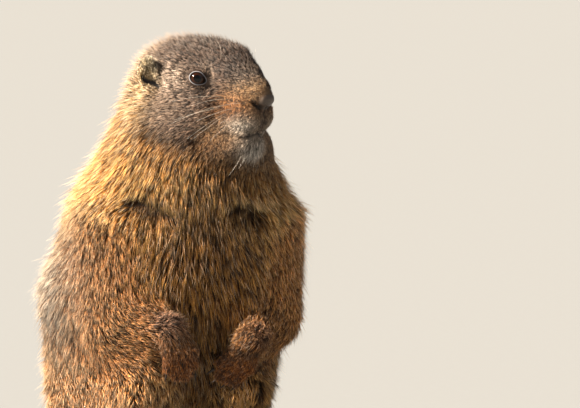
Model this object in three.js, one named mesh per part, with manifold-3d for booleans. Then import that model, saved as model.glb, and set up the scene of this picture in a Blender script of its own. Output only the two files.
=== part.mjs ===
// A marmot sitting up on its haunches, forepaws hanging before the belly, head turned to its left.
// The solids give the outline of the coat, out to the tips of the hair. Millimetres, +Z up.
// The body faces -Y, the animal's left is +X, and the floor is Z = 0.
import * as THREE from "three";
import { mergeVertices } from "three/addons/utils/BufferGeometryUtils.js";
import Module from "manifold-3d";

const wasm = await Module();
wasm.setup();

// Driving dimensions
const gap = 0.35; // clear space between neighbouring pieces
const headTurn = 38; // degrees that the head looks to the animal's left
const eyeLine = [15.2, -46.8, 258.6]; // midway between the eyes
const eyeRadius = 6.9;
const eyeHalfSpacing = 20.4;
const forepawDigits = 4;
const hindfootDigits = 5;

// How coarse each piece is, as the edge of the grid that it is wrapped on
const cell = {
  trunk: 22, neck: 19, head: 9.6, muzzle: 5.6, nose: 3.6, ear: 3.8, foreleg: 14, forepaw: 4.8,
  hindleg: 18, hindfoot: 6.2, tail: 14, seam: 25,
};

const colour = {
  trunk: "#a8763c",
  neck: "#b88044",
  head: "#75604f",
  muzzle: "#8a7355",
  ear: "#9a8560",
  nose: "#4f443c",
  eye: "#120c0a",
  foreleg: "#9c6a40",
  forepaw: "#6d5040",
  hindleg: "#a9733f",
  hindfoot: "#7a5a42",
  tail: "#6f5238",
  claw: "#2a221d",
};

// The trunk's cross sections from the floor up: how far its middle lies to the side and back,
// and half its width and depth
const sections = [
  { height: -14, side: -11, back: 34, halfWidth: 66, halfDepth: 62 },
  { height: 18, side: -11, back: 32, halfWidth: 77, halfDepth: 81 },
  { height: 50, side: -9, back: 27, halfWidth: 76, halfDepth: 87 },
  { height: 88, side: -6, back: 16, halfWidth: 90, halfDepth: 91 },
  { height: 116, side: -4, back: 9, halfWidth: 92.5, halfDepth: 88 },
  { height: 140, side: 0, back: 3, halfWidth: 87, halfDepth: 82 },
  { height: 166, side: 2, back: -3, halfWidth: 83.5, halfDepth: 75 },
  { height: 188, side: -1, back: -8, halfWidth: 73, halfDepth: 67 },
  { height: 210, side: 4, back: -12, halfWidth: 63.5, halfDepth: 58 },
  { height: 230, side: 0, back: -14, halfWidth: 52, halfDepth: 47 },
  { height: 250, side: -5, back: -11, halfWidth: 36, halfDepth: 33 },
  { height: 264, side: -8, back: -10, halfWidth: 20, halfDepth: 18 },
];

// Limbs: joints from the body outwards, each with the radius of the furred limb there
const forelegs = {
  left: {
    side: 1,
    shoulder: { at: [50, -30, 150], radius: 31 },
    elbow: { at: [57, -46, 89], radius: 20.5 },
    wrist: { at: [31, -88, 75], radius: 10.5 },
    knuckles: { at: [22, -94, 61], radius: 8 },
    fingertips: [12, -91, 50],
  },
  right: {
    side: -1,
    shoulder: { at: [-54, -32, 150], radius: 31 },
    elbow: { at: [-58, -48, 82], radius: 22 },
    wrist: { at: [-27, -92, 83], radius: 11 },
    knuckles: { at: [-23, -99, 68], radius: 8.5 },
    fingertips: [-22, -96, 54],
  },
};
const hindlegs = {
  left: {
    side: 1,
    hip: { at: [34, 30, 48], radius: 43 },
    knee: { at: [27, -60, 42], radius: 25 },
    heel: { at: [34, -38, 13], radius: 13 },
    ball: { at: [37, -92, 11], radius: 10.5 },
  },
  right: {
    side: -1,
    hip: { at: [-46, 30, 46], radius: 46 },
    knee: { at: [-38, -60, 43], radius: 26 },
    heel: { at: [-47, -38, 13], radius: 13 },
    ball: { at: [-50, -92, 11], radius: 10.5 },
  },
};
const tailJoints = [
  { at: [-6, 96, 24], radius: 24 },
  { at: [-2, 130, 22], radius: 23 },
  { at: [8, 165, 21], radius: 22.5 },
  { at: [24, 195, 19], radius: 19 },
  { at: [40, 214, 16], radius: 11 },
];

const radians = THREE.MathUtils.degToRad;
const vector = (p) => new THREE.Vector3(...p);

// Fields: each gives about the distance from a point to a shape, negative inside it.

// An egg of the given half sizes, turned about X, Y and Z in degrees
function egg(at, size, turn = [0, 0, 0]) {
  const place = new THREE.Matrix4()
    .makeRotationFromEuler(new THREE.Euler(...turn.map(radians)))
    .setPosition(...at)
    .invert();
  const q = new THREE.Vector3();
  return (p) => {
    q.copy(p).applyMatrix4(place);
    const near = Math.hypot(q.x / size[0], q.y / size[1], q.z / size[2]);
    const slope = Math.hypot(q.x / size[0] ** 2, q.y / size[1] ** 2, q.z / size[2] ** 2);
    return near < 1e-6 ? -Math.min(...size) : (near * (near - 1)) / slope;
  };
}

// A round bar from one point to another, thicker at one end
function bar(from, to, startRadius, endRadius) {
  const start = vector(from);
  const along = vector(to).sub(start);
  const length = along.length();
  along.normalize();
  const taper = (startRadius - endRadius) / length;
  const cosine = Math.sqrt(1 - taper * taper);
  const q = new THREE.Vector3();
  return (p) => {
    q.copy(p).sub(start);
    const x = q.dot(along);
    const y = Math.sqrt(Math.max(q.lengthSq() - x * x, 0));
    const k = x + (y * taper) / cosine;
    if (k < 0) return Math.hypot(x, y) - startRadius;
    if (k > length) return Math.hypot(x - length, y) - endRadius;
    return y * cosine + x * taper - startRadius;
  };
}

// A chain of bars through joints, each { at, radius }
function chain(joints, softness) {
  const bars = [];
  for (let i = 1; i < joints.length; i++) {
    bars.push(bar(joints[i - 1].at, joints[i].at, joints[i - 1].radius, joints[i].radius));
  }
  return blend(softness, ...bars);
}

// Shapes grown together with a soft crease
function blend(softness, ...fields) {
  return (p) =>
    fields.map((field) => field(p)).reduce((a, b) => {
      const h = Math.max(softness - Math.abs(a - b), 0) / softness;
      return Math.min(a, b) - (h * h * softness) / 4;
    });
}

// A shape with a hollow pressed into it
function pressed(softness, field, ...hollows) {
  return (p) =>
    hollows.map((hollow) => -hollow(p)).reduce((a, b) => {
      const h = Math.max(softness - Math.abs(a - b), 0) / softness;
      return Math.max(a, b) + (h * h * softness) / 4;
    }, field(p));
}

// The trunk and the root of the neck, from the table of sections
function sectioned(rows) {
  const low = rows[0].height;
  const high = rows.at(-1).height;
  const smooth = (key) => {
    const points = rows.map((row) => new THREE.Vector2(row.height, row[key]));
    const table = new THREE.SplineCurve(points).getPoints(rows.length * 12);
    return (height) => {
      const h = THREE.MathUtils.clamp(height, low, high);
      const above = Math.max(1, table.findIndex((point) => point.x >= h));
      const share = (h - table[above - 1].x) / (table[above].x - table[above - 1].x || 1);
      return THREE.MathUtils.lerp(table[above - 1].y, table[above].y, share);
    };
  };
  const [side, back, halfWidth, halfDepth] = ["side", "back", "halfWidth", "halfDepth"].map(smooth);
  const fullness = 2.15; // 2 is an ellipse, more is squarer
  return (p) => {
    const a = halfWidth(p.z);
    const b = halfDepth(p.z);
    const x = Math.abs(p.x - side(p.z)) / a;
    const y = Math.abs(p.y - back(p.z)) / b;
    const ring = ((x ** fullness + y ** fullness) ** (1 / fullness) - 1) * Math.min(a, b);
    return Math.max(ring, low - p.z, p.z - high);
  };
}

// Wraps a closed surface round the points where a field is negative, on a grid of cubes, and
// draws its corners onto the true surface
function wrap(field, low, high, edge) {
  const count = [0, 1, 2].map((i) => Math.ceil((high[i] - low[i]) / edge) + 1);
  const [nx, ny, nz] = count;
  const index = (i, j, k) => (k * ny + j) * nx + i;
  const values = new Float64Array(nx * ny * nz);
  const p = new THREE.Vector3();
  for (let k = 0; k < nz; k++) {
    for (let j = 0; j < ny; j++) {
      for (let i = 0; i < nx; i++) {
        const onRim = !i || !j || !k || i === nx - 1 || j === ny - 1 || k === nz - 1;
        p.set(low[0] + i * edge, low[1] + j * edge, low[2] + k * edge);
        values[index(i, j, k)] = onRim ? Math.max(field(p), edge / 8) : field(p);
      }
    }
  }
  fillDiagonals(values, count, edge);
  const corners = [];
  for (let c = 0; c < 8; c++) corners.push([c & 1, (c >> 1) & 1, c >> 2]);
  const edges = [];
  for (let a = 0; a < 8; a++) {
    for (const bit of [1, 2, 4]) if (!(a & bit)) edges.push([corners[a], corners[a | bit]]);
  }
  const positions = [];
  const vertexOf = new Map();
  for (let k = 0; k < nz - 1; k++) {
    for (let j = 0; j < ny - 1; j++) {
      for (let i = 0; i < nx - 1; i++) {
        const sum = new THREE.Vector3();
        let crossings = 0;
        for (const [a, b] of edges) {
          const va = values[index(i + a[0], j + a[1], k + a[2])];
          const vb = values[index(i + b[0], j + b[1], k + b[2])];
          if (va < 0 === vb < 0) continue;
          const t = va / (va - vb);
          sum.add(new THREE.Vector3(
            i + a[0] + t * (b[0] - a[0]),
            j + a[1] + t * (b[1] - a[1]),
            k + a[2] + t * (b[2] - a[2]),
          ));
          crossings++;
        }
        if (!crossings) continue;
        sum.multiplyScalar(edge / crossings).add(vector(low));
        vertexOf.set(index(i, j, k), positions.length / 3);
        positions.push(...onto(field, sum, edge * 0.4).toArray());
      }
    }
  }
  const faces = [];
  const steps = [[1, 0, 0], [0, 1, 0], [0, 0, 1]];
  for (let k = 0; k < nz - 1; k++) {
    for (let j = 0; j < ny - 1; j++) {
      for (let i = 0; i < nx - 1; i++) {
        steps.forEach((step, axis) => {
          const inside = values[index(i, j, k)] < 0;
          if (inside === values[index(i + step[0], j + step[1], k + step[2])] < 0) return;
          const u = steps[(axis + 1) % 3];
          const v = steps[(axis + 2) % 3];
          const ring = [[1, 1], [0, 1], [0, 0], [1, 0]].map(([du, dv]) =>
            vertexOf.get(index(
              i - du * u[0] - dv * v[0],
              j - du * u[1] - dv * v[1],
              k - du * u[2] - dv * v[2],
            )));
          if (!inside) ring.reverse();
          const [a, b, c, d] = ring;
          if (spread(positions, a, c) < spread(positions, b, d)) faces.push(a, b, c, a, c, d);
          else faces.push(a, b, d, b, c, d);
        });
      }
    }
  }
  const geometry = new THREE.BufferGeometry();
  geometry.setAttribute("position", new THREE.Float32BufferAttribute(positions, 3));
  geometry.setIndex(faces);
  return geometry;
}

// Where a square of the grid is inside at two opposite corners only, makes a third corner inside,
// so that no edge of the surface is shared by four triangles
function fillDiagonals(values, [nx, ny, nz], edge) {
  const strides = [1, nx, nx * ny];
  let changed = true;
  while (changed) {
    changed = false;
    for (let at = 0; at < nx * ny * (nz - 1) - nx - 1; at++) {
      for (const [u, v] of [[0, 1], [1, 2], [0, 2]]) {
        const far = [at, at + strides[u], at + strides[u] + strides[v], at + strides[v]];
        const [a, b, c, d] = far.map((i) => values[i] < 0);
        if (a !== c || b !== d || a === b) continue;
        const outer = (a ? [far[1], far[3]] : [far[0], far[2]]).sort((i, j) => values[i] - values[j]);
        values[outer[0]] = -edge / 50;
        changed = true;
      }
    }
  }
}

// The distance between two corners
function spread(positions, a, b) {
  return Math.hypot(...[0, 1, 2].map((i) => positions[3 * a + i] - positions[3 * b + i]));
}

// Moves a point onto the surface of a field, no further than the reach
function onto(field, point, reach) {
  const start = point.clone();
  const small = 0.05;
  const slope = new THREE.Vector3();
  for (let step = 0; step < 3; step++) {
    const here = field(point);
    slope.set(
      field(point.clone().setX(point.x + small)) - here,
      field(point.clone().setY(point.y + small)) - here,
      field(point.clone().setZ(point.z + small)) - here,
    ).divideScalar(small);
    point.addScaledVector(slope, -here / Math.max(slope.lengthSq(), 0.2));
  }
  return start.add(point.sub(start).clampLength(0, reach));
}

// A closed solid from a geometry, for cutting
function solid(geometry) {
  const bare = geometry.clone();
  bare.deleteAttribute("normal");
  bare.deleteAttribute("uv");
  const merged = mergeVertices(bare, 1e-4);
  return new wasm.Manifold(new wasm.Mesh({
    numProp: 3,
    vertProperties: new Float32Array(merged.attributes.position.array),
    triVerts: new Uint32Array(merged.index.array),
  }));
}

// The geometry of a cut solid, without crumbs
function geometryOf(cut) {
  const largest = cut.decompose().sort((a, b) => b.volume() - a.volume())[0];
  const { vertProperties, triVerts, numProp } = largest.getMesh();
  const geometry = new THREE.BufferGeometry();
  const places = new Float32Array((vertProperties.length / numProp) * 3);
  for (let i = 0; i < places.length / 3; i++) {
    places.set(vertProperties.subarray(i * numProp, i * numProp + 3), i * 3);
  }
  geometry.setAttribute("position", new THREE.BufferAttribute(places, 3));
  geometry.setIndex(new THREE.BufferAttribute(new Uint32Array(triVerts), 1));
  return geometry;
}

// A block that fills one side of a plane and reaches a little over it
function beyond(point, normal, reachOver = gap / 2) {
  const reach = 600;
  const away = vector(normal).normalize();
  const block = new THREE.BoxGeometry(reach, reach, reach);
  block.translate(0, 0, reach / 2 - reachOver);
  block.applyQuaternion(new THREE.Quaternion().setFromUnitVectors(new THREE.Vector3(0, 0, 1), away));
  block.translate(...point);
  return solid(block);
}

const opposite = (normal) => normal.map((x) => -x);
const floorSlab = () => {
  const slab = new THREE.BoxGeometry(900, 900, 100);
  slab.translate(0, 0, -50);
  return solid(slab);
};

const bodyOf = (field, low, high, edge) => solid(wrap(field, low, high, edge));

// The same surface moved out by a little over a gap, to cut a neighbour
function swollen(geometry) {
  const larger = geometry.clone();
  larger.computeVertexNormals();
  const { position, normal } = larger.attributes;
  for (let i = 0; i < position.array.length; i++) position.array[i] += normal.array[i] * gap * 1.7;
  return larger;
}

// A shape as itself and as the room that it needs
function fitted(field, low, high, edge) {
  const geometry = wrap(field, low, high, edge);
  return { body: solid(geometry), room: solid(swollen(geometry)) };
}

// The head is laid out in its own frame, midway between the eyes and looking along -Y.
const headPlace = new THREE.Matrix4().makeRotationZ(radians(headTurn)).setPosition(...eyeLine);
const fromHead = headPlace.clone().invert();
const headPoint = (at) => vector(at).applyMatrix4(headPlace).toArray();
const headWay = (way) => vector(way).transformDirection(headPlace).toArray();

function inHead(field) {
  const q = new THREE.Vector3();
  return (p) => field(q.copy(p).applyMatrix4(fromHead));
}

// The same shape on both sides of the head
const pair = (make) => [make(1), make(-1)];

function headField() {
  const skull = blend(
    10,
    egg([0, 26, -3], [33, 39, 31]), // cranium
    egg([0, -4, 7], [20.5, 29, 19.5]), // brow
    ...pair((side) => egg([side * 17.5, 22, -25], [19, 33, 26])), // cheek
    egg([0, 12, -44], [28, 34, 18]), // throat
  );
  const muzzle = blend(
    5,
    egg([0, -18, -16], [17, 26, 20]),
    egg([0, -26, -6], [12.5, 16, 14]), // bridge of the nose
    egg([0, -40.5, -12.5], [9.5, 8.5, 8]), // tip of the nose
    ...pair((side) => egg([side * 8, -26, -23], [10, 13, 13])), // whisker pad
    ...pair((side) => egg([side * 6, -33, -25.5], [11, 11, 12])), // upper lip
    egg([0, -24.5, -41], [12.5, 14, 11.5]), // chin
  );
  return inHead(blend(8, skull, muzzle));
}

// A low rounded ear, hollowed on the side that faces out and forward
function earField(side) {
  const facing = [0, 0, side * 56];
  const shell = egg([side * 38, 34, 3.5], [10.5, 5, 13.2], facing);
  const bowl = egg([side * 42.5, 31, 1.5], [7.2, 4.6, 9.4], facing);
  return inHead(pressed(2.5, shell, bowl));
}

const eyeAt = (side) => [side * eyeHalfSpacing, 0, 0];
const noseField = inHead(egg([0, -45.2, -14.5], [7.8, 4.4, 6.4], [12, 0, 0]));

// Where the digits of a paw start and end, spread like a fan round its middle line
function digits(from, towards, count, { reach, spacing, fan, side }) {
  const start = vector(from);
  const ahead = vector(towards).sub(start).normalize();
  const across = new THREE.Vector3(1, 0, 0).addScaledVector(ahead, -ahead.x).normalize();
  const found = [];
  for (let i = 0; i < count; i++) {
    const share = (2 * i) / (count - 1) - 1; // -1 on the animal's right, 1 on its left
    const root = start.clone().addScaledVector(across, share * spacing);
    const length = reach * (1 - 0.2 * share * share - 0.08 * share * side);
    const way = ahead.clone().addScaledVector(across, share * Math.tan(radians(fan))).normalize();
    found.push({ root, tip: root.clone().addScaledVector(way, length), way });
  }
  return found;
}

function fingersOf({ knuckles, fingertips, side }) {
  return digits(knuckles.at, fingertips, forepawDigits, { reach: 15, spacing: 8, fan: 8, side });
}

function toesOf({ ball, side }) {
  const [x, y] = ball.at;
  const ahead = [x + side * 3, y - 20, 6.5];
  return digits([x, y - 2, 8.5], ahead, hindfootDigits, { reach: 17, spacing: 11, fan: 7, side });
}

const fingerRadius = { root: 4.6, tip: 3.6 };
const toeRadius = { root: 5.4, tip: 4.2 };
const digitBars = (found, radius) =>
  found.map(({ root, tip }) => bar(root.toArray(), tip.toArray(), radius.root, radius.tip));

const armField = ({ shoulder, elbow, wrist }) => chain([shoulder, elbow, wrist], 12);

function forepawField(leg) {
  const { wrist, knuckles } = leg;
  const palm = blend(6, bar(wrist.at, knuckles.at, wrist.radius, knuckles.radius),
    egg(knuckles.at, [10.5, 6.5, 8]));
  const hand = blend(2.2, palm, ...digitBars(fingersOf(leg), fingerRadius));
  return blend(6, armField(leg), hand);
}

function thighField({ hip, knee, heel }) {
  const shank = bar(knee.at, heel.at, 20, heel.radius);
  return blend(8, bar(hip.at, knee.at, hip.radius, knee.radius), shank);
}

function hindfootField(leg) {
  const { heel, ball } = leg;
  const sole = bar(heel.at, ball.at, heel.radius, ball.radius);
  const foot = blend(6, sole, egg(ball.at, [15.5, 15, 11]));
  return blend(4, thighField(leg), blend(2.5, foot, ...digitBars(toesOf(leg), toeRadius)));
}

// The shape of the whole animal, from which the larger pieces are parted
const sides = ["left", "right"];
const core = blend(16, sectioned(sections), headField());
const tailField = chain(tailJoints, 10);
const upper = blend(12, core, ...sides.map((side) => armField(forelegs[side])));
const lower = blend(12, core, ...sides.map((side) => thighField(hindlegs[side])), tailField);
const animal = (p) => Math.min(upper(p), lower(p));

// Planes that part the body, each a point and the way towards the outer piece
const neckPlane = { at: [0, -10, 186], way: [0, -0.42, 0.9] };
const headPlane = { at: headPoint([0, 16, -38]), way: headWay([0, -0.5, 0.86]) };
const muzzlePlane = { at: headPoint([0, -20, -16]), way: headWay([0, -0.85, -0.52]) };
const tailPlane = { at: [0, 116, 0], way: [0, 1, 0] };
const hipPlanes = {
  left: { at: [2, 0, 0], way: [1, 0, 0] },
  right: { at: [-14, 0, 0], way: [-1, 0, 0] },
};
const seamReach = 7; // how far a limb's piece takes in the coat round it
const past = ({ at, way }) => beyond(at, way);
const short = ({ at, way }) => beyond(at, opposite(way));

const boxes = {
  trunk: [[-120, -120, -24], [120, 150, 250]],
  neck: [[-85, -115, 130], [95, 60, 300]],
  head: [[-45, -130, 165], [90, 50, 300]],
  muzzle: [[0, -125, 178], [80, -35, 285]],
  tail: [[-45, 60, -20], [75, 250, 60]],
  foreleg: { left: [[0, -125, 30], [110, 20, 200]], right: [[-110, -125, 30], [0, 20, 200]] },
  hindleg: { left: [[-30, -110, -24], [100, 90, 120]], right: [[-120, -110, -24], [20, 90, 120]] },
};
const around = (at, reach) => [at.map((x) => x - reach), at.map((x) => x + reach)];

function piece(name, geometry, look = name) {
  const shine = { eye: 0.05, claw: 0.4, nose: 0.5 };
  const mesh = new THREE.Mesh(geometry, new THREE.MeshStandardMaterial({
    color: colour[look], roughness: shine[look] ?? 0.9, metalness: 0,
  }));
  mesh.name = name;
  return mesh;
}

function makeHead() {
  const group = new THREE.Group();
  group.position.set(...eyeLine);
  group.rotation.z = radians(headTurn);
  const place = (name, cut, look) =>
    group.add(piece(name, geometryOf(cut).applyMatrix4(fromHead), look));
  let head = bodyOf(core, ...boxes.head, cell.head).subtract(short(headPlane));
  for (const side of sides) {
    const s = side === "left" ? 1 : -1;
    const ear = fitted(earField(s), ...around(headPoint([s * 38, 34, 3]), 22), cell.ear);
    place(`ear_${side}`, ear.body, "ear");
    const socket = new THREE.SphereGeometry(eyeRadius + gap, 12, 8);
    socket.translate(...headPoint(eyeAt(s)));
    head = head.subtract(ear.room).subtract(solid(socket));
    const eye = piece(`eye_${side}`, new THREE.SphereGeometry(eyeRadius, 12, 8), "eye");
    eye.position.set(...eyeAt(s));
    group.add(eye);
  }
  place("head", head.subtract(past(muzzlePlane)));
  const nose = fitted(noseField, ...around(headPoint([0, -46, -14]), 13), cell.nose);
  place("nose", nose.body);
  const muzzle = bodyOf(core, ...boxes.muzzle, cell.muzzle).subtract(short(headPlane));
  place("muzzle", muzzle.subtract(short(muzzlePlane)).subtract(nose.room));
  return group;
}

function makeNeck() {
  const neck = bodyOf(core, ...boxes.neck, cell.neck);
  return piece("neck", geometryOf(neck.subtract(past(headPlane)).subtract(short(neckPlane))));
}

function makeTail() {
  const tail = bodyOf(tailField, ...boxes.tail, cell.tail);
  return piece("tail", geometryOf(tail.subtract(floorSlab()).subtract(short(tailPlane))));
}

// A claw, bent down towards its point, with its root at the origin and its point along -Z
function clawGeometry(length, radius, drop) {
  const claw = new THREE.ConeGeometry(radius, length, 5, 2);
  claw.rotateX(-Math.PI / 2);
  claw.translate(0, 0, -length / 2);
  const place = claw.attributes.position;
  for (let i = 0; i < place.count; i++) {
    const share = -place.getZ(i) / length;
    place.setXYZ(i, place.getX(i) * 0.75, place.getY(i) - drop * share * share, place.getZ(i));
  }
  return claw;
}

// A claw just off the tip of each digit
function addClaws(group, name, found, { length, radius, drop, upwards, tipRadius }) {
  found.forEach(({ tip, way }, i) => {
    const claw = piece(`${name}_${i + 1}`, clawGeometry(length, radius, drop), "claw");
    claw.position.copy(tip).addScaledVector(way, tipRadius + gap);
    claw.up.set(...upwards);
    claw.lookAt(claw.position.clone().sub(way));
    group.add(claw);
  });
}

// A foreleg and its paw. Its shoulder is let into the trunk, which leaves it the room.
function makeForeleg(side) {
  const group = new THREE.Group();
  const leg = forelegs[side];
  const { elbow, wrist, knuckles } = leg;
  const along = vector(wrist.at).sub(vector(elbow.at)).normalize();
  const beforeWrist = vector(wrist.at).addScaledVector(along, -4);
  const wristPlane = { at: beforeWrist.toArray(), way: along.toArray() };
  const box = boxes.foreleg[side];
  const limb = armField(leg);
  const inset = fitted((p) => limb(p) - seamReach, ...box, cell.seam);
  const arm = bodyOf(animal, ...box, cell.foreleg)
    .intersect(inset.body)
    .subtract(past(wristPlane))
    .subtract(past(neckPlane));
  group.add(piece(`foreleg_${side}`, geometryOf(arm), "foreleg"));
  const paw = bodyOf(forepawField(leg), ...around(knuckles.at, 34), cell.forepaw);
  group.add(piece(`forepaw_${side}`, geometryOf(paw.subtract(short(wristPlane))), "forepaw"));
  const claws = { length: 9, radius: 1.9, drop: 3, upwards: [0, -1, 0], tipRadius: fingerRadius.tip };
  addClaws(group, `claw_fore_${side}`, fingersOf(leg), claws);
  return { group, room: inset.room };
}

// A hind leg and its foot. The haunch is let into the trunk, and the heel stops short of it.
function makeHindleg(side, taken, rump) {
  const group = new THREE.Group();
  const leg = hindlegs[side];
  const { heel, ball } = leg;
  const anklePlane = { at: [heel.at[0], heel.at[1], 22], way: [0, -0.2, -1] };
  const box = boxes.hindleg[side];
  const limb = thighField(leg);
  const inset = fitted((p) => limb(p) - seamReach, ...box, cell.seam);
  const thigh = bodyOf(lower, ...box, cell.hindleg)
    .intersect(inset.body)
    .subtract(short(hipPlanes[side]))
    .subtract(past(anklePlane))
    .subtract(taken);
  group.add(piece(`hindleg_${side}`, geometryOf(thigh), "hindleg"));
  const nearFoot = [[ball.at[0] - 32, -135, -12], [ball.at[0] + 32, -10, 36]];
  const foot = bodyOf(hindfootField(leg), ...nearFoot, cell.hindfoot)
    .subtract(floorSlab())
    .subtract(short(anklePlane))
    .subtract(rump);
  group.add(piece(`hindfoot_${side}`, geometryOf(foot), "hindfoot"));
  const claws = { length: 8.5, radius: 1.9, drop: 1.5, upwards: [0, 0, 1], tipRadius: toeRadius.tip };
  addClaws(group, `claw_hind_${side}`, toesOf(leg), claws);
  const hipRoom = beyond(hipPlanes[side].at, opposite(hipPlanes[side].way), -gap);
  return { group, room: inset.room.subtract(hipRoom).subtract(past(anklePlane)) };
}

const marmot = new THREE.Group();
marmot.add(makeHead(), makeNeck(), makeTail());
const rump = fitted(core, ...boxes.trunk, cell.trunk);
let trunk = rump.body.subtract(floorSlab()).subtract(past(neckPlane)).subtract(past(tailPlane));
for (const side of sides) {
  const foreleg = makeForeleg(side);
  const hindleg = makeHindleg(side, foreleg.room, rump.room);
  marmot.add(foreleg.group, hindleg.group);
  trunk = trunk.subtract(foreleg.room).subtract(hindleg.room);
}
marmot.add(piece("trunk", geometryOf(trunk)));

// The origin is under the middle of the whole animal, on the floor.
const bounds = new THREE.Box3().setFromObject(marmot, true);
const middle = bounds.getCenter(new THREE.Vector3());
marmot.position.set(-middle.x, -middle.y, -bounds.min.z);

export default marmot;
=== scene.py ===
import math

import bmesh
import bpy
import numpy as np
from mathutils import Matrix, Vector
from mathutils.bvhtree import BVHTree
from mathutils.kdtree import KDTree


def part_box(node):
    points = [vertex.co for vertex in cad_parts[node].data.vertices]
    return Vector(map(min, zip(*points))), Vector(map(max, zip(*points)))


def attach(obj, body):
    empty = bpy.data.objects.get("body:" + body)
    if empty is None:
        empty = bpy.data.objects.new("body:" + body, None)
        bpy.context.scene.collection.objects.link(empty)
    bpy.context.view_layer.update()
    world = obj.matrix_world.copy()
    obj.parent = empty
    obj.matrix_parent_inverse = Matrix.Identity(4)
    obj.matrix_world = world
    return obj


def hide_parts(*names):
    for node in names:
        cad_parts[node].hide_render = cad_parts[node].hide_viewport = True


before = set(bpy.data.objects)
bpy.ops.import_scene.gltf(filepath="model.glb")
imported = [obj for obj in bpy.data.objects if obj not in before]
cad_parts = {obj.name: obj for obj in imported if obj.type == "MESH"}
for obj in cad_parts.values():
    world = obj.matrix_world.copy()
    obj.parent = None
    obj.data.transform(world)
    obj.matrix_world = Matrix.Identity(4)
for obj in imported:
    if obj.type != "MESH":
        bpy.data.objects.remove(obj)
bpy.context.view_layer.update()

chance = np.random.default_rng(41)
mm = 0.001

# A yellow-bellied marmot sitting upright. Places are in millimetres on the part's own origin,
# +Y behind the animal and +X its left; the origin is found again from where the eyes are.
pose = {
    "eyeLine": (15.2, -46.8, 258.6),  # midway between the eyes
    "midline": -6,  # x between the limbs of the two sides
    "tailJoints": ((-6, 96, 24), (-2, 130, 22), (8, 165, 21), (24, 195, 19), (40, 214, 16)),
    "arms": {
        "left": ((50, -30, 150), (57, -46, 89), (31, -88, 75), (12, -91, 50)),
        "right": ((-54, -32, 150), (-58, -48, 82), (-27, -92, 83), (-22, -96, 54)),
    },
    "legs": {
        "left": ((34, 60, 60), (27, -60, 42), (34, -38, 13), (37, -112, 10)),
        "right": ((-46, 60, 58), (-38, -60, 43), (-47, -38, 13), (-50, -111, 10)),
    },
    "knuckles": {"left": (22, -94, 61), "right": (-23, -99, 68)},
    "balls": {"left": (37, -92, 11), "right": (-50, -92, 11)},
}


def linear(hexColour):
    # sRGB hex to the linear colour that Blender's sockets take
    parts = [int(hexColour[i:i + 2], 16) / 255 for i in (1, 3, 5)]
    return np.array([c / 12.92 if c <= 0.04045 else ((c + 0.055) / 1.055) ** 2.4 for c in parts])


def rgba(hexColour):
    return (*linear(hexColour), 1)


def unit(v):
    return v / np.maximum(np.linalg.norm(v, axis=-1, keepdims=True), 1e-9)


def ramp(x, low, high):
    t = np.clip((x - low) / (high - low), 0, 1)
    return t * t * (3 - 2 * t)


def shareAlong(points, a, b):
    # 0 level with a, 1 level with b
    return (points - a) @ (b - a) / ((b - a) @ (b - a))


def blob(places, centre, reach):
    # 1 at the centre, fading out over its reach along each axis
    return np.exp(-(((places - np.array(centre)) / reach) ** 2).sum(1))


def middle(node):
    low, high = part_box(node)
    return np.array((low + high) / 2)


eyeMiddle = (middle("eye_left") + middle("eye_right")) / 2
partOrigin = eyeMiddle - np.array(pose["eyeLine"]) * mm
headLeft = unit(middle("eye_left") - middle("eye_right"))
headFront = np.cross(headLeft, (0, 0, 1))
headAxes = np.array([headLeft, -headFront, (0, 0, 1)])
eyeSpacing = np.linalg.norm(middle("eye_left") - middle("eye_right")) / mm / 2
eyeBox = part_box("eye_left")
eyeRadius = (eyeBox[1][2] - eyeBox[0][2]) / 2 / mm


def toHead(p):
    # the part's millimetres to the head's own: +X its left, -Y to the nose, zero between the eyes
    q = np.asarray(p, float) - np.array(pose["eyeLine"])
    return np.stack([q @ headLeft, -(q @ headFront), q[..., 2]], -1)


def foldedHead(p):
    # the same, with both sides of the head laid on the left one
    q = toHead(p)
    return np.hstack([np.abs(q[:, :1]), q[:, 1:]])


def headWay(q):
    # a direction on the head, on the part's axes
    return np.asarray(q, float) @ headAxes


def fromHead(q):
    return headWay(q) + np.array(pose["eyeLine"])


def mirrored(path, side):
    return np.array(path, float) * (side, 1, 1)


def onSide(points, side):
    return (points[:, 0] > pose["midline"]) == (side == "left")


def toMetres(p):
    return np.asarray(p, float) * mm + partOrigin


def pickOnly(*objects):
    bpy.ops.object.select_all(action="DESELECT")
    for o in objects:
        o.select_set(True)
    bpy.context.view_layer.objects.active = objects[0]


def meshPiece(name, points, faces):
    # points in metres; faces as one array of triangles or quads
    mesh = bpy.data.meshes.new(name)
    corners = faces.shape[1]
    mesh.vertices.add(len(points))
    mesh.vertices.foreach_set("co", points.astype(np.float32).ravel())
    mesh.loops.add(faces.size)
    mesh.loops.foreach_set("vertex_index", faces.astype(np.int32).ravel())
    mesh.polygons.add(len(faces))
    mesh.polygons.foreach_set("loop_start", np.arange(0, faces.size, corners, dtype=np.int32))
    mesh.polygons.foreach_set("use_smooth", np.ones(len(faces), bool))
    mesh.update(calc_edges=True)
    piece = bpy.data.objects.new(name, mesh)
    bpy.context.scene.collection.objects.link(piece)
    return piece


def joinedCopies(name, nodes, swelling=0):
    # the frame's nodes as one new mesh, swollen by so many mm, and the number of each face's node
    copies = []
    for node in nodes:
        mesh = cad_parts[node].data.copy()
        work = bmesh.new()
        work.from_mesh(mesh)
        bmesh.ops.remove_doubles(work, verts=work.verts, dist=1e-6)
        work.normal_update()
        for vert in work.verts:
            vert.co += vert.normal * swelling * mm
        work.to_mesh(mesh)
        work.free()
        mesh.materials.clear()
        copy = bpy.data.objects.new(name, mesh)
        bpy.context.scene.collection.objects.link(copy)
        copies.append(copy)
    owners = np.repeat(np.arange(len(copies)), [len(c.data.polygons) for c in copies])
    pickOnly(*copies)
    bpy.ops.object.join()
    joined = bpy.context.object
    joined.name = joined.data.name = name
    return joined, owners


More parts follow.
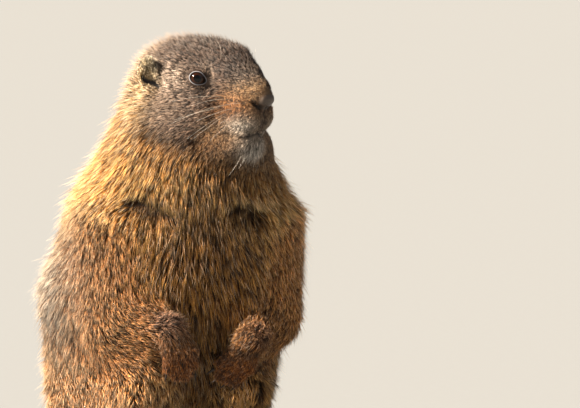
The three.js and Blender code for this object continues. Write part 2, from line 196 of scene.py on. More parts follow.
def arrays(mesh):
    points = np.empty(len(mesh.vertices) * 3, np.float32)
    mesh.vertices.foreach_get("co", points)
    return points.reshape(-1, 3).astype(float)


def giveColour(mesh, name, values):
    layer = mesh.attributes.new(name, "FLOAT_COLOR", "POINT")
    colours = np.ones((len(values), 4), np.float32)
    colours[:, :3] = values
    layer.data.foreach_set("color", colours.ravel())


def giveNumber(mesh, name, values):
    layer = mesh.attributes.new(name, "FLOAT", "POINT")
    layer.data.foreach_set("value", values.astype(np.float32))


# The skin

skinValues = {
    "voxel": 3.5,  # of the first closed shell
    "swelling": 0.45,  # closes the thin cuts between the frame's solids
    "headReach": 62,  # finer skin within this of the eyes' middle
    "fineSteps": (0.62, 0.3),  # points so many voxels apart start to be fine, and are fully fine
    "nape": (8, 46, 4),  # on the head: y where the coat gets deeper, from and to, and by how much
    "faceKeeps": 0.8,  # how little the last smoothing changes the face
}
fineSpots = (  # on the head, in turn: a place and the reach within which the skin gets finer still
    ((0, -22, -12), 34),
    ((40, 34, 3), 19), ((eyeSpacing, 0, 0), 12),
    ((-40, 34, 3), 19), ((-eyeSpacing, 0, 0), 12),
    ((0, -42, -24), 14),
)
fleshNodes = ["trunk", "neck", "head", "muzzle", "nose", "tail"] + [
    part + "_" + side for side in ("left", "right")
    for part in ("ear", "foreleg", "forepaw", "hindleg", "hindfoot")]
shellNodes = fleshNodes + ["eye_left", "eye_right"]  # the skin closes over the eyeballs first
coatDepth = {  # how far the skin lies under the coat's tips, in mm
    "trunk": 10, "neck": 9, "head": 2.4, "muzzle": 0.7, "nose": 0, "ear": 0.7,
    "foreleg": 6, "forepaw": 2.0, "hindleg": 9, "hindfoot": 1.6, "tail": 10,
}
fineParts = {"head": 0.8, "muzzle": 1, "nose": 1, "ear": 1, "forepaw": 1, "hindfoot": 1}
softParts = {"neck": 0.5, "head": 0.5, "muzzle": 0.25, "nose": 0.16, "ear": 0.1,
             "forepaw": 0.1, "hindfoot": 0.1}
smoothing = {  # in rounds; where there are two, the second is for fine skin
    "shares": (7, 70), "depth": (12, 60), "flesh": 14, "onFlesh": 2, "soft": 40, "last": 4,
}


def keepLargest(work):
    # the remesh may leave a bubble between two solids
    left = set(work.verts)
    groups = []
    while left:
        first = left.pop()
        group, front = [first], [first]
        while front:
            near = [e.other_vert(v) for v in front for e in v.link_edges]
            front = [v for v in set(near) if v in left]
            left.difference_update(front)
            group += front
        groups.append(group)
    groups.sort(key=len)
    for group in groups[:-1]:
        bmesh.ops.delete(work, geom=group, context="VERTS")


def refine(work, inside):
    edges = [e for e in work.edges if inside((e.verts[0].co + e.verts[1].co) / 2)]
    bmesh.ops.subdivide_edges(work, edges=edges, cuts=1, use_grid_fill=True, use_single_edge=True)


def near(place, reach):
    centre = Vector(toMetres(place))
    return lambda p: (p - centre).length < reach * mm


def closeAndRefine(shell):
    pickOnly(shell)
    remesh = shell.modifiers.new("close", "REMESH")
    remesh.mode = "VOXEL"
    remesh.voxel_size = skinValues["voxel"] * mm
    bpy.ops.object.modifier_apply(modifier=remesh.name)
    work = bmesh.new()
    work.from_mesh(shell.data)
    keepLargest(work)
    refine(work, near(pose["eyeLine"], skinValues["headReach"]))
    for side in ("left", "right"):
        for limb, times in (("forepaw_", 2), ("hindfoot_", 1)):
            low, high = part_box(limb + side)
            place = (middle(limb + side) - partOrigin) / mm
            for _ in range(times):
                refine(work, near(place, (high - low).length / 2 / mm))
    for place, reach in fineSpots:
        refine(work, near(fromHead(place), reach))
    bmesh.ops.triangulate(work, faces=work.faces)
    work.to_mesh(shell.data)
    work.free()


class Surface:
    # the skin's points and triangles as arrays, in the part's millimetres
    def __init__(self, mesh):
        self.points = (arrays(mesh) - partOrigin) / mm
        faces = np.empty(len(mesh.polygons) * 3, np.int32)
        mesh.polygons.foreach_get("vertices", faces)
        self.faces = faces.reshape(-1, 3)
        edges = np.empty(len(mesh.edges) * 2, np.int32)
        mesh.edges.foreach_get("vertices", edges)
        edges = edges.reshape(-1, 2)
        self.heads = np.concatenate([edges[:, 0], edges[:, 1]])
        self.tails = np.concatenate([edges[:, 1], edges[:, 0]])
        self.counts = np.bincount(self.heads, minlength=len(self.points))[:, None]

    def spread(self, values, rounds, share=0.5):
        # each round moves a value part of the way to its neighbours' mean
        for _ in range(rounds):
            mean = np.stack([np.bincount(self.heads, column[self.tails], len(values))
                             for column in values.T], 1) / self.counts
            values = values + share * (mean - values)
        return values

    def fineness(self):
        # 1 where the points stand close together, 0 where they are a whole voxel apart
        gaps = np.linalg.norm(self.points[self.heads] - self.points[self.tails], axis=1)
        step = np.bincount(self.heads, gaps, len(self.points))[:, None] / self.counts
        return ramp(step, *(skinValues["voxel"] * share for share in skinValues["fineSteps"]))

    def spreadEvenly(self, values, rounds, fineRounds):
        # fine skin needs more rounds for the same reach
        values = self.spread(values, rounds)
        return self.spread(values, fineRounds, 0.5 * self.fineness())

    def normals(self):
        a, b, c = (self.points[self.faces[:, k]] for k in range(3))
        across = np.cross(b - a, c - a)
        corners = self.faces.T.ravel()
        return unit(np.stack([np.bincount(corners, np.tile(across[:, k], 3), len(self.points))
                              for k in range(3)], 1))

    def areas(self):
        a, b, c = (self.points[self.faces[:, k]] for k in range(3))
        return np.linalg.norm(np.cross(b - a, c - a), axis=1) / 2


def shareOfParts(skin, flesh, owners):
    # for each point of the skin, how much it belongs to each part of the body
    parts = list(coatDepth)
    partOf = np.array([parts.index(name.split("_")[0].replace("eye", "head")) for name in shellNodes])
    nearest = np.array([flesh.find_nearest(Vector(p))[2] for p in toMetres(skin.points)])
    shares = skin.spreadEvenly(np.eye(len(parts))[partOf[owners[nearest]]], *smoothing["shares"])
    return dict(zip(parts, shares.T))


def byPart(shares, table):
    # a number given for parts of the body, blended at each point
    return sum(shares[part] * value for part, value in table.items())


def settle(skin, flesh, shares):
    # small parts go back onto the frame's surface, the rest loses the frame's facets by smoothing
    smooth = skin.spread(skin.points, smoothing["flesh"])
    found = [flesh.find_nearest(Vector(p)) for p in toMetres(skin.points)]
    onFlesh = (np.array([f[0] for f in found]) - partOrigin) / mm
    points = smooth + (onFlesh - smooth) * byPart(shares, fineParts)[:, None]
    points = skin.spread(points, smoothing["onFlesh"])
    skin.points = skin.spread(points, smoothing["soft"], byPart(shares, softParts)[:, None])


def underCoat(skin, shares):
    # the skin sinks by the coat's depth, which grows from the face to the nape
    start, end, deeper = skinValues["nape"]
    nape = shares["head"] * ramp(toHead(skin.points)[:, 1], start, end)
    depth = byPart(shares, coatDepth) + nape * deeper
    depth = skin.spreadEvenly(depth[:, None] + skinValues["swelling"], *smoothing["depth"])
    skin.points = skin.points - skin.normals() * depth
    face = (shares["head"] + shares["muzzle"] + shares["nose"] + shares["ear"])[:, None]
    smooth = skin.spread(skin.points, smoothing["last"])
    skin.points = smooth + (skin.points - smooth) * np.clip(face, 0, 1) * skinValues["faceKeeps"]


faceValues = {
    "gaze": 36,  # degrees forward of straight out
    "lidTilt": 20,  # the front corner of the eye is the lower one
    "slit": (54, 62, 41, 36),  # the opening's reach in degrees: back, front, up, down
    "pinch": (5, 60, 0.3),  # degrees forward where the opening narrows, from and to, and its share
    "lidOver": 0.25,  # the lid's skin over the eyeball
    "lidBlend": 3.0,  # the lid runs into the face over so many mm
    "lidFull": (0.6, 1.15, 1.7),  # how full it is there, rising between so many openings
    "sunk": (1.04, 0.7),  # within so many openings the skin sinks to this share of the eye's radius
    "socketReach": 16,
    "earWay": (0.616, 0.788, 0),  # the ear narrows this way
    "earEdge": (40, 0.24),  # from so far out, and by what share
    "mouthFades": (14, 7),  # from the middle, where the mouth line's painted shade has ended and starts to fade
    "lipSpread": 0.12,
    "searched": (30, 40),  # round a path for its points, and round its line for the skin it moves
}
faceGrooves = {  # on the head's left side: path, width and depth
    # the nostrils, the ears' openings, the mouth and the philtrum are also painted dark along these
    # paths: painted shade in the grooves
    "nostril": (((4.6, -46.6, -22), (7.2, -44.2, -19.8), (9.2, -40.8, -17)), 1.4, 2.4),
    "ear": (((42, 31.5, 0), (37, 28.2, -3.6), (35.4, 24, -6.4)), 2.1, 1.6),  # its opening, a crescent, painted dark as shade
    "tearLine": (((17.5, -8.5, -4.6), (15.5, -13, -6.8)), 1.3, 0.7),
    "mouth": (((0, -38.5, -38.5), (5, -36.5, -40.2), (9, -32, -41.4), (12.5, -26.5, -40.6),
               (14, -23, -39)), 1.35, 1.5),
    "philtrum": (((0, -47.5, -22), (0, -44, -28), (0, -40.5, -36)), 1.0, 1.2),
}
faceBulges = {  # on the head's left side: place, reach and height
    "bridge": ((0, -34, 7), (14, 10, 9), 2.2),  # straight from the brow to the nose
    "bridgeFront": ((0, -42, -4), (10, 7, 6), 1.8),
    "earHollow": ((37.5, 28, -2), (7, 6, 9), -1.1),
    "brow": ((17.5, 1, 10), (5, 11, 4.5), 1.6),
    "upperLip": ((5.6, -41, -30), (5.5, 6, 7), 0.9),
    "noseWing": ((4.4, -47.5, -15.5), (3.6, 4, 3.6), 0.3),
    "jawCorner": ((13, -22, -48), (7, 10, 8), 3.0),  # full fur under it
}


def snapped(skin, path, steps=10):
    # a path drawn near the face, laid on the skin
    path = fromHead(path)
    t = np.linspace(0, len(path) - 1, steps * (len(path) - 1) + 1)
    drawn = np.stack([np.interp(t, range(len(path)), path[:, k]) for k in range(3)], 1)
    close = np.linalg.norm(skin.points - path.mean(0), axis=1) < faceValues["searched"][0]
    some = skin.points[close]
    return np.array([some[np.argmin(((some - p) ** 2).sum(1))] for p in drawn])


def nearness(skin, line, width):
    close = np.linalg.norm(skin.points - line.mean(0), axis=1) < faceValues["searched"][1]
    gap = np.full(len(skin.points), 1e3)
    gap[close] = np.sqrt(((skin.points[close][:, None] - line[None]) ** 2).sum(2).min(1))
    return np.exp(-(gap / width) ** 2)


def groove(skin, name, side=1):
    path, width, deep = faceGrooves[name]
    there = nearness(skin, snapped(skin, mirrored(path, side)), width)
    skin.points = skin.points - skin.normals() * (there * deep)[:, None]
    return there


def bulge(skin, name, side=1):
    place, reach, high = faceBulges[name]
    there = blob(toHead(skin.points), mirrored(place, side), reach)
    skin.points = skin.points + skin.normals() * (there * high)[:, None]
    return there


def eyeAxes(side):
    # the way the eye looks, and the long and short way of its opening
    turn, tilt = math.radians(faceValues["gaze"]), math.radians(faceValues["lidTilt"])
    out, front, up = np.array((side, 0, 0)), np.array((0, -1, 0)), np.array((0, 0, 1))
    gaze = math.cos(turn) * out + math.sin(turn) * front
    level = -math.sin(turn) * out + math.cos(turn) * front
    along = math.cos(tilt) * level - math.sin(tilt) * up
    return gaze, along, math.sin(tilt) * level + math.cos(tilt) * up


def pinched(angle):
    # the eye's opening narrows to its front corner
    start, end, share = faceValues["pinch"]
    return 1 - share * ramp(angle, start, end)


def slitPlace(offsets, side):
    # how far out of the eye's opening each offset from the eye's middle is; 1 is the lid's edge
    gaze, along, across = eyeAxes(side)
    way = unit(offsets)
    a = np.degrees(np.arctan2(way @ along, way @ gaze))
    b = np.degrees(np.arcsin(np.clip(way @ across, -1, 1)))
    back, front, up, down = faceValues["slit"]
    return np.hypot(a / np.where(a > 0, front, back), b / (np.where(b > 0, up, down) * pinched(a)))


def eyeMiddleOf(side):
    return np.array((side * eyeSpacing, 0, 0))


def socket(skin, side):
    # the skin swells over the eyeball as lids do, and sinks behind it inside the opening
    offsets = toHead(skin.points) - eyeMiddleOf(side)
    far = np.linalg.norm(offsets, axis=1)
    place = slitPlace(offsets, side)
    lid = eyeRadius + faceValues["lidOver"]
    blend, (full, start, end) = faceValues["lidBlend"], faceValues["lidFull"]
    h = np.clip(0.5 + 0.5 * (far - lid) / blend, 0, 1)
    over = far * h + lid * (1 - h) + blend * h * (1 - h) * full * ramp(place, start, end)
    within, share = faceValues["sunk"]
    wanted = np.where(place < within, eyeRadius * share, over)
    wanted = np.where(far < faceValues["socketReach"], wanted, far)
    skin.points = fromHead(eyeMiddleOf(side) + unit(offsets) * wanted[:, None])


def narrowEar(skin, shares, side):
    # the ear's far edge is drawn in, so the nape's hair stands out behind it
    way = mirrored(faceValues["earWay"], side)
    start, share = faceValues["earEdge"]
    beyond = np.clip(toHead(skin.points) @ way - start, 0, None)
    own = shares["ear"] * (toHead(skin.points)[:, 0] * side > 0)
    skin.points = skin.points - headWay(way) * (beyond * own * share)[:, None]


def shapeFace(skin, shares):
    # the dark and canal marks are painted shade: in the nostrils, along the mouth line and philtrum,
    # and in the ears' openings
    marks = {name: np.zeros(len(skin.points)) for name in ("dark", "canal", "hollow", "lip")}
    bulge(skin, "bridge")
    bulge(skin, "bridgeFront")
    for side in (1, -1):
        narrowEar(skin, shares, side)
        marks["hollow"] = np.maximum(marks["hollow"], bulge(skin, "earHollow", side))
        marks["canal"] = np.maximum(marks["canal"], groove(skin, "ear", side))
        for name in ("brow", "upperLip", "noseWing", "jawCorner"):
            bulge(skin, name, side)
        socket(skin, side)
        groove(skin, "tearLine", side)
        marks["dark"] = np.maximum(marks["dark"], groove(skin, "nostril", side))
    for side in (1, -1):
        lips = groove(skin, "mouth", side)
        inner = ramp(np.abs(toHead(skin.points)[:, 0]), *faceValues["mouthFades"])
        marks["dark"] = np.maximum(marks["dark"], lips * inner)
        marks["lip"] = np.maximum(marks["lip"], lips ** faceValues["lipSpread"])
    marks["dark"] = np.maximum(marks["dark"], groove(skin, "philtrum"))
    return marks


pawValues = {  # digits like a fan: how many, spacing, radii of palm bones and digits
    "fore": dict(part="forepaw", chain="arms", joint="knuckles", shift=(0, 0, 0),
                 count=4, spacing=8, palm=(6.2, 3.7), digit=(3.0, 2.3)),
    "hind": dict(part="hindfoot", chain="legs", joint="balls", shift=(0, -2, -2.5),
                 count=5, spacing=11, palm=(9.5, 4.8), digit=(3.7, 2.8)),
}
pawShaping = {
    "overClaw": 0.8,  # how far a digit reaches over its claw's root
    "clawRoot": 0.3,  # the share of a claw's length that is its thick end
    "own": (0.25, 0.8),  # a point's share of the paw where it starts to move and moves fully
    "rounds": 12, "blend": 0.6, "mostGap": 2, "step": 0.6,
    "between": (0.85, 0.5),  # the strongest digit's pull where a crease starts and is deep
    "onDigits": (0.5, 0.9),  # all the digits' pull where creases start and are full
    # how dark the painted shade in the creases between the digits is
    "creaseShade": 0.9,
    "floor": 0.4,
}


def clawRoot(name, start):
    # the middle of a claw's thick end, which is the end nearer the knuckles
    points = (arrays(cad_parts[name].data) - partOrigin) / mm
    far = np.linalg.norm(points - start, axis=1)
    return points[far < far.min() + pawShaping["clawRoot"] * np.ptp(far)].mean(0)


def digitLines(limb, side):
    # a line from each knuckle to its claw, and the way the whole paw points
    v = pawValues[limb]
    start = np.array(pose[v["joint"]][side], float) + v["shift"]
    roots = [clawRoot("claw_{}_{}_{}".format(limb, side, k + 1), start) for k in range(v["count"])]
    ahead = unit(np.mean(roots, 0) - start)
    across = unit(np.array((1, 0, 0)) - ahead * ahead[0])
    roots.sort(key=lambda root: root @ across)
    lines = []
    for share, claw in zip(np.linspace(-1, 1, v["count"]), roots):
        knuckle = start + across * share * v["spacing"]
        back = v["digit"][1] - pawShaping["overClaw"]
        lines.append((knuckle, claw - unit(claw - knuckle) * back))
    return lines, start, ahead


def barGaps(points, bars):
    # how far each point lies outside each tapering bar, and the way out
    gaps, ways = [], []
    for a, b, thick, thin in bars:
        t = np.clip(shareAlong(points, a, b), 0, 1)
        away = points - (a + t[:, None] * (b - a))
        gaps.append(np.linalg.norm(away, axis=1) - (thick + (thin - thick) * t))
        ways.append(unit(away))
    return np.array(gaps), np.array(ways)


def ontoBars(points, bars, hold):
    # the points drawn onto the bars, which blend where they meet, and how much each bar pulls
    v = pawShaping
    for _ in range(v["rounds"]):
        gaps, ways = barGaps(points, bars)
        pulls = np.exp((gaps.min(0) - gaps) / v["blend"])
        gap = gaps.min(0) - v["blend"] * np.log(pulls.sum(0))
        pulls = pulls / pulls.sum(0)
        way = unit((pulls[:, :, None] * ways).sum(0))
        gap = np.clip(gap, -v["mostGap"], v["mostGap"])
        points = points - way * (gap * hold * v["step"])[:, None]
    return points, pulls


def shapePaws(skin, shares, marks):
    # the skin of hands and feet is drawn onto bars along their bones, with creases between the digits
    # that are painted dark as shade
    for limb, v in pawValues.items():
        own = shares[v["part"]]
        for side in ("left", "right"):
            lines, start, ahead = digitLines(limb, side)
            wrist = np.array(pose[v["chain"]][side][2], float)
            bars = [(wrist, root, *v["palm"]) for root, _ in lines]
            bars += [(root, tip, *v["digit"]) for root, tip in lines]
            close = (own > pawShaping["own"][0]) & onSide(skin.points, side)
            hold = ramp(own[close], *pawShaping["own"])
            points = skin.points[close]
            along = np.clip((points - start) @ ahead, 0, None)
            wanted = max((tip - start) @ ahead for _, tip in lines) + v["digit"][1]
            stretch = max(wanted / along.max() - 1, 0)
            points = points + ahead * (along * hold * stretch)[:, None]
            skin.points[close], pulls = ontoBars(points, bars, hold)
            digits = pulls[v["count"]:]
            crease = ramp(digits.max(0), *pawShaping["between"])
            crease = crease * ramp(digits.sum(0), *pawShaping["onDigits"]) * hold
            # painted shade in the creases between the digits
            marks["dark"][close] = np.maximum(marks["dark"][close], crease * pawShaping["creaseShade"])
    skin.points[:, 2] = np.maximum(skin.points[:, 2], pawShaping["floor"])


shell, owners = joinedCopies("skin", shellNodes, skinValues["swelling"])
flesh = BVHTree.FromObject(shell, bpy.context.evaluated_depsgraph_get())
closeAndRefine(shell)
skin = Surface(shell.data)
shares = shareOfParts(skin, flesh, owners)
settle(skin, flesh, shares)
underCoat(skin, shares)
marks = shapeFace(skin, shares)
shapePaws(skin, shares, marks)
print("skin shaped:", len(skin.points), "points,", len(skin.faces), "triangles")


# Which way the hair lies

lieValues = {
    "nose": (0, -46, -10),  # face hair runs back from here
    "earRoot": (32, 36, -8),
    "neckFrom": (0, 14, 4), "neckOut": 1.2, "neckDown": (0, 0.1, -0.9),
    "trunkHalf": 90, "trunkOut": (0.75, 0, 0), "trunkDown": (0, 0.12, -1),
    "armDown": (0, 0, -0.25), "legDown": (0, 0, -0.7),
    "rounds": 26, "roundsEach": (1, 4),  # the second is for fine skin
    "whorls": (  # where the chest's hair parts, and how wide
        ((-44, -66, 174), 14), ((-31, -70, 170), 8), ((31, -72, 176), 9), ((39, -69, 170), 8)),
    "parting": 1.8,  # how strongly
    "covered": (-0.2, 0.5, 0.75),  # hair falls over it from above: heights in widths, and how much
    "eyeClear": (20, 9), "eyeTurn": 1.25, "eyeOut": 0.12,
}


def alongChain(points, joints):
    # the way from joint to joint at each point
    joints = np.array(joints, float)
    best = np.full(len(points), 1e9)
    way = np.zeros_like(points)
    for a, b in zip(joints[:-1], joints[1:]):
        t = np.clip(shareAlong(points, a, b), 0, 1)[:, None]
        gap = np.linalg.norm(points - (a + t * (b - a)), axis=1)
        closer = gap < best
        way[closer] = unit(b - a)
        best[closer] = gap[closer]
    return way


def sided(points, choose):
    # a limb's own chain on each side of the body
    return np.where(onSide(points, "left")[:, None], choose("left"), choose("right"))


def flat(ways, normals):
    return unit(ways - normals * (ways * normals).sum(1, keepdims=True))


def nearestPoint(place):
    return skin.points[np.argmin(((skin.points - place) ** 2).sum(1))]


def layHair(skin, shares):
    v = lieValues
    p, n = skin.points, skin.normals()
    q = toHead(p)
    fromNose = headWay(unit(q - v["nose"]))
    earRoots = np.where(q[:, :1] > 0, v["earRoot"], mirrored(v["earRoot"], -1))
    neck = unit(p - fromHead(v["neckFrom"])) * v["neckOut"] + v["neckDown"]
    trunk = np.outer(np.clip(p[:, 0] / v["trunkHalf"], -1, 1), v["trunkOut"]) + v["trunkDown"]
    arms = sided(p, lambda s: alongChain(p, pose["arms"][s]))
    legs = sided(p, lambda s: alongChain(p, pose["legs"][s]))
    ways = {
        "head": fromNose, "muzzle": fromNose, "nose": fromNose, "ear": headWay(unit(q - earRoots)),
        "neck": unit(neck), "trunk": unit(trunk), "tail": alongChain(p, pose["tailJoints"]),
        "foreleg": arms + v["armDown"], "forepaw": arms,
        "hindleg": legs + v["legDown"], "hindfoot": legs,
    }
    lie = flat(sum(shares[part][:, None] * ways[part] for part in hairLike), n)
    for _ in range(v["rounds"]):
        lie = flat(skin.spread(lie, v["roundsEach"][0]), n)
        lie = flat(skin.spread(lie, v["roundsEach"][1], 0.5 * skin.fineness()), n)
    for wanted, wide in v["whorls"]:
        away = p - nearestPoint(wanted)
        far = np.linalg.norm(away, axis=1, keepdims=True)
        low, high, share = v["covered"]
        below = 1 - share * ramp(away[:, 2:], low * wide, high * wide)
        lie = flat(lie + unit(away) * v["parting"] * below * np.exp(-(far / wide) ** 2), n)
    for side in (1, -1):  # hair goes round the eye and never over it
        away = flat(headWay(q - eyeMiddleOf(side)), n)
        far = np.linalg.norm(q - eyeMiddleOf(side), axis=1)
        into = np.minimum((lie * away).sum(1, keepdims=True), 0)
        turn = (into * v["eyeTurn"] - v["eyeOut"]) * ramp(far, *v["eyeClear"])[:, None]
        lie = flat(lie - away * turn, n)
    return lie


# What the hair is like on each part: length and width in mm, rise in degrees, density in tufts for
# each square mm, turn as the spread of the lie in degrees, pull as how far a lock's tips are drawn
# together, and lock as its tufts

hairLike = {
    "trunk": dict(length=22, width=0.72, rise=29, density=1.0, turn=9, pull=0.66, lock=5),
    "neck": dict(length=20, width=0.6, rise=26, density=1.4, turn=6, pull=0.6, lock=5),
    "head": dict(length=9.0, width=0.28, rise=19, density=4.8, turn=4, pull=0.4, lock=5),
    "muzzle": dict(length=3.0, width=0.3, rise=16, density=4.8, turn=8, pull=0.2, lock=6),
    "nose": dict(length=1.5, width=0.3, rise=10, density=0.0, turn=10, pull=0.0, lock=6),
    "ear": dict(length=3.0, width=0.34, rise=20, density=3.6, turn=12, pull=0.2, lock=6),
    "foreleg": dict(length=14, width=0.58, rise=26, density=1.5, turn=8, pull=0.5, lock=5),
    "forepaw": dict(length=9.5, width=0.44, rise=12, density=3.0, turn=5, pull=0.35, lock=6),
    "hindleg": dict(length=17.5, width=0.8, rise=30, density=1.1, turn=12, pull=0.62, lock=5),
    "hindfoot": dict(length=6.5, width=0.48, rise=14, density=2.2, turn=8, pull=0.3, lock=6),
    "tail": dict(length=25, width=0.95, rise=34, density=0.9, turn=13, pull=0.6, lock=5),
}


combValues = {  # on the head, where a place isn't the paw's
    "toNape": (-12, 40, 0.45, 0.3),  # y from and to, how much hair gains, and how short it starts
    "beard": ((0, -31, -48), (12, 12, 9), 6, 14),  # place, reach, added length and rise
    "crown": (8, 24, 26, 0.6), "nape": (20, 44, 22, 1.4),  # z or y from and to, added rise and length
    "capPull": 0.2,
    "shorter": (((15, -28, -20), (6, 10, 7), 0.5),  # the whiskers' cushion
                ((33, 21, -3), (7, 7, 9), 0.6)),  # before the ear
    "digits": (-0.05, 0.55, 0.52),  # from the wrist at 0 to the end at 1, and how much shorter
    "eyeReach": 2.2, "eyeBare": 1.24, "eyeShort": (0.3, 0.2),  # in eye radii and in openings
    "parting": (0.6, 0.5, 0.7),  # share of a whorl's width, how much shorter and thinner
    "leather": ((0, -47, -16.5), (7.6, 7, 5.6)),
    "leatherEdge": (1.15, 0.85), "leatherBack": (-38, -41),
    "markBare": 1.6, "fromFloor": (1, 3),
    "hollowShort": 0.6, "lipShort": 0.45,
}


def noseLeather(skin):
    q = toHead(skin.points)
    place, reach = combValues["leather"]
    leather = ramp((((q - place) / reach) ** 2).sum(1), *combValues["leatherEdge"])
    return leather * ramp(q[:, 1], *combValues["leatherBack"])


def combHead(fields, skin, shares):
    # longer to the nape, a beard under the chin, and a cap that stands up
    v = combValues
    q, folded, head = toHead(skin.points), foldedHead(skin.points), shares["head"]
    start, end, longer, short = v["toNape"]
    fields["length"] *= 1 + head * (ramp(q[:, 1], start, end) * longer - short)
    place, reach, length, rise = v["beard"]
    beard = (head + shares["muzzle"] + shares["nose"]) * blob(q, place, reach)
    fields["length"] += beard * length
    fields["rise"] += beard * rise
    cap = 0
    for name, axis in (("crown", 2), ("nape", 1)):
        start, end, rise, length = v[name]
        there = head * ramp(q[:, axis], start, end)
        fields["rise"] += there * rise
        fields["length"] += there * length
        cap = cap + there
    fields["pull"] += cap * v["capPull"]
    fields["spikes"] = np.clip(cap, 0, 1)
    for place, reach, share in v["shorter"]:
        fields["length"] *= 1 - share * blob(folded, place, reach)


def combPaws(fields, skin, shares):
    # long over the wrist, short on the digits
    start, end, share = combValues["digits"]
    for v in pawValues.values():
        for side in ("left", "right"):
            wrist, tip = (np.array(pose[v["chain"]][side][k], float) for k in (2, 3))
            own = shares[v["part"]] * onSide(skin.points, side)
            down = ramp(shareAlong(skin.points, wrist, tip), start, end)
            fields["length"] *= 1 - own * share * down


def clearHair(fields, skin, marks):
    # none on eyes, nose leather and grooves, and little round the eyes and where the chest's parts
    v = combValues
    for side in (1, -1):
        offsets = toHead(skin.points) - eyeMiddleOf(side)
        place = slitPlace(offsets, side)
        close = np.linalg.norm(offsets, axis=1) < eyeRadius * v["eyeReach"]
        fields["density"][close & (place < v["eyeBare"])] = 0
        atLid, more = v["eyeShort"]
        fields["length"][close] *= np.clip(atLid + more * place[close], 0, 1)
    for wanted, wide in lieValues["whorls"]:
        within, shorter, thinner = v["parting"]
        far = np.linalg.norm(skin.points - nearestPoint(wanted), axis=1)
        there = np.exp(-(far / (wide * within)) ** 2)
        fields["length"] *= 1 - shorter * there
        fields["density"] *= 1 - thinner * there
    fields["density"] *= 1 - marks["leather"]
    fields["density"] *= ramp(skin.points[:, 2], *v["fromFloor"])
    for name in ("dark", "canal"):
        fields["density"] *= 1 - np.clip(marks[name] * v["markBare"], 0, 1)
    fields["length"] *= (1 - v["hollowShort"] * marks["hollow"]) * (1 - v["lipShort"] * marks["lip"])


def hairFields(skin, shares, marks):
    fields = {kind: byPart(shares, {part: like[kind] for part, like in hairLike.items()})
              for kind in hairLike["trunk"]}
    combHead(fields, skin, shares)
    combPaws(fields, skin, shares)
    clearHair(fields, skin, marks)
    return fields


# The coat's markings: each part's colours of hair and tips, then patches laid over them in turn

partColours = {
    "trunk": ("#a66a28", "#f2bc68"), "neck": ("#d08e3c", "#ffdc98"), "head": ("#503c30", "#8a7262"),
    "muzzle": ("#86623f", "#b89872"), "nose": ("#5b4a3f", "#7c695a"), "ear": ("#b8a47c", "#fff6dc"),
    "foreleg": ("#c07836", "#ffc47c"), "forepaw": ("#6c4325", "#ad723e"),
    "hindleg": ("#b27430", "#f4c278"), "hindfoot": ("#8a6844", "#bb9a70"),
    "tail": ("#7a5334", "#b08a5e"),
}
patches = [  # on the body or both sides of the head: place, reach, hair, tips, how strong
    ("body", (0, 84, 130), (95, 55, 95), "#7c5a3a", "#e6d8c0", 0.9),  # frosted back
    ("body", (92, 10, 110), (22, 60, 90), "#9a6d3c", "#e8d6b8", 0.7),
    ("body", (-62, -20, 185), (36, 46, 42), "#f0a23e", "#ffdc92", 0.95),  # golden shoulder
    ("body", (-66, -30, 76), (36, 60, 46), "#dc9044", "#ffdca4", 0.85),
    ("body", (-66, -14, 30), (40, 74, 32), "#f4a04a", "#fff2d0", 1.0),  # orange haunch
    ("body", (-94, 4, 122), (34, 60, 66), "#7c6048", "#fffaf0", 0.85),  # white tips on the right side
    ("body", (2, -82, 158), (44, 26, 44), "#3e2203", "#985a18", 0.95),  # ochre chest
    ("body", (10, -84, 108), (34, 24, 46), "#6a4214", "#ca9448", 0.8),  # duller belly
    ("body", (4, -70, 62), (40, 26, 20), "#4e331c", "#8f6a40", 0.8),  # dark lower belly: painted shade under the hands
    ("body", (-36, -88, 90), (12, 12, 9), "#b08068", "#e6c6b4", 0.75),  # pinkish wrists: the pinkish tint is a painted sheen
    ("body", (40, -82, 82), (10, 12, 8), "#a87858", "#e0b494", 0.75),
    ("body", (-24, -100, 58), (16, 14, 10), "#a8601e", "#e08e3e", 0.8),  # orange under the hands
    ("body", (22, -92, 56), (18, 14, 9), "#a8601e", "#e08e3e", 0.85),
    ("head", (0, -4, 22), (32, 34, 20), "#261a13", "#4a382d", 0.97),  # dark crown
    ("head", (10, -20, 10), (15, 15, 11), "#281a13", "#4e3a2e", 0.88),  # brow
    ("head", (30, 20, -24), (20, 22, 16), "#664f3f", "#ae9884", 0.7),  # pale grizzled cheek
    ("head", (27, 12, -1), (10, 9, 9), "#9a7e6a", "#ecdac6", 0.85),  # behind and under the eye
    ("head", (17, -9, 0), (4, 5, 7), "#8a7260", "#d0baa4", 0.75),  # pale before the eye
    ("head", (0, -33, 1), (13, 12, 7), "#3a3533", "#706c6b", 0.95),  # grey patch on the bridge
    ("head", (0, -42, -9), (10, 8, 5), "#94714a", "#c8a678", 0.8),  # tan front of the bridge
    ("head", (15, -27, -21), (9, 12, 8), "#a86426", "#d4924a", 0.9),  # orange side of the muzzle
    ("head", (11, -33, -32), (9, 11, 6.5), "#e2d4c0", "#fffaf4", 1.0),  # whitish upper lip
    ("head", (0, -44, -30), (4.2, 7, 8), "#5f4f44", "#8a7a6c", 0.8),  # shaded cleft of the lip
    ("head", (0, -34, -48), (12, 12, 8), "#cdc2b2", "#fbf6ee", 1.0),  # whitish chin
    ("head", (36, 40, -14), (14, 12, 22), "#e0ac62", "#ffe8bc", 0.8),  # golden behind the cheek
    ("head", (0, 50, 2), (36, 15, 28), "#80603e", "#caa878", 0.75),  # the cap thins out at the nape
    ("head", (14, -2, -46), (18, 22, 9), "#7c4c24", "#b8844c", 0.6),  # brown throat sides
]
whiskerRows = {  # on the muzzle's side: first and last root of each row, and how many
    "rows": (((12.4, -35.5, -18), (16.6, -21, -13.5)), ((12.6, -35.5, -21), (17.4, -19.5, -17)),
             ((12.6, -35, -24), (17.6, -20, -20.5)), ((12, -34.5, -27), (16.8, -22, -24.5))),
    "inRow": 5, "jitter": 0.5, "spot": 1.05,
}


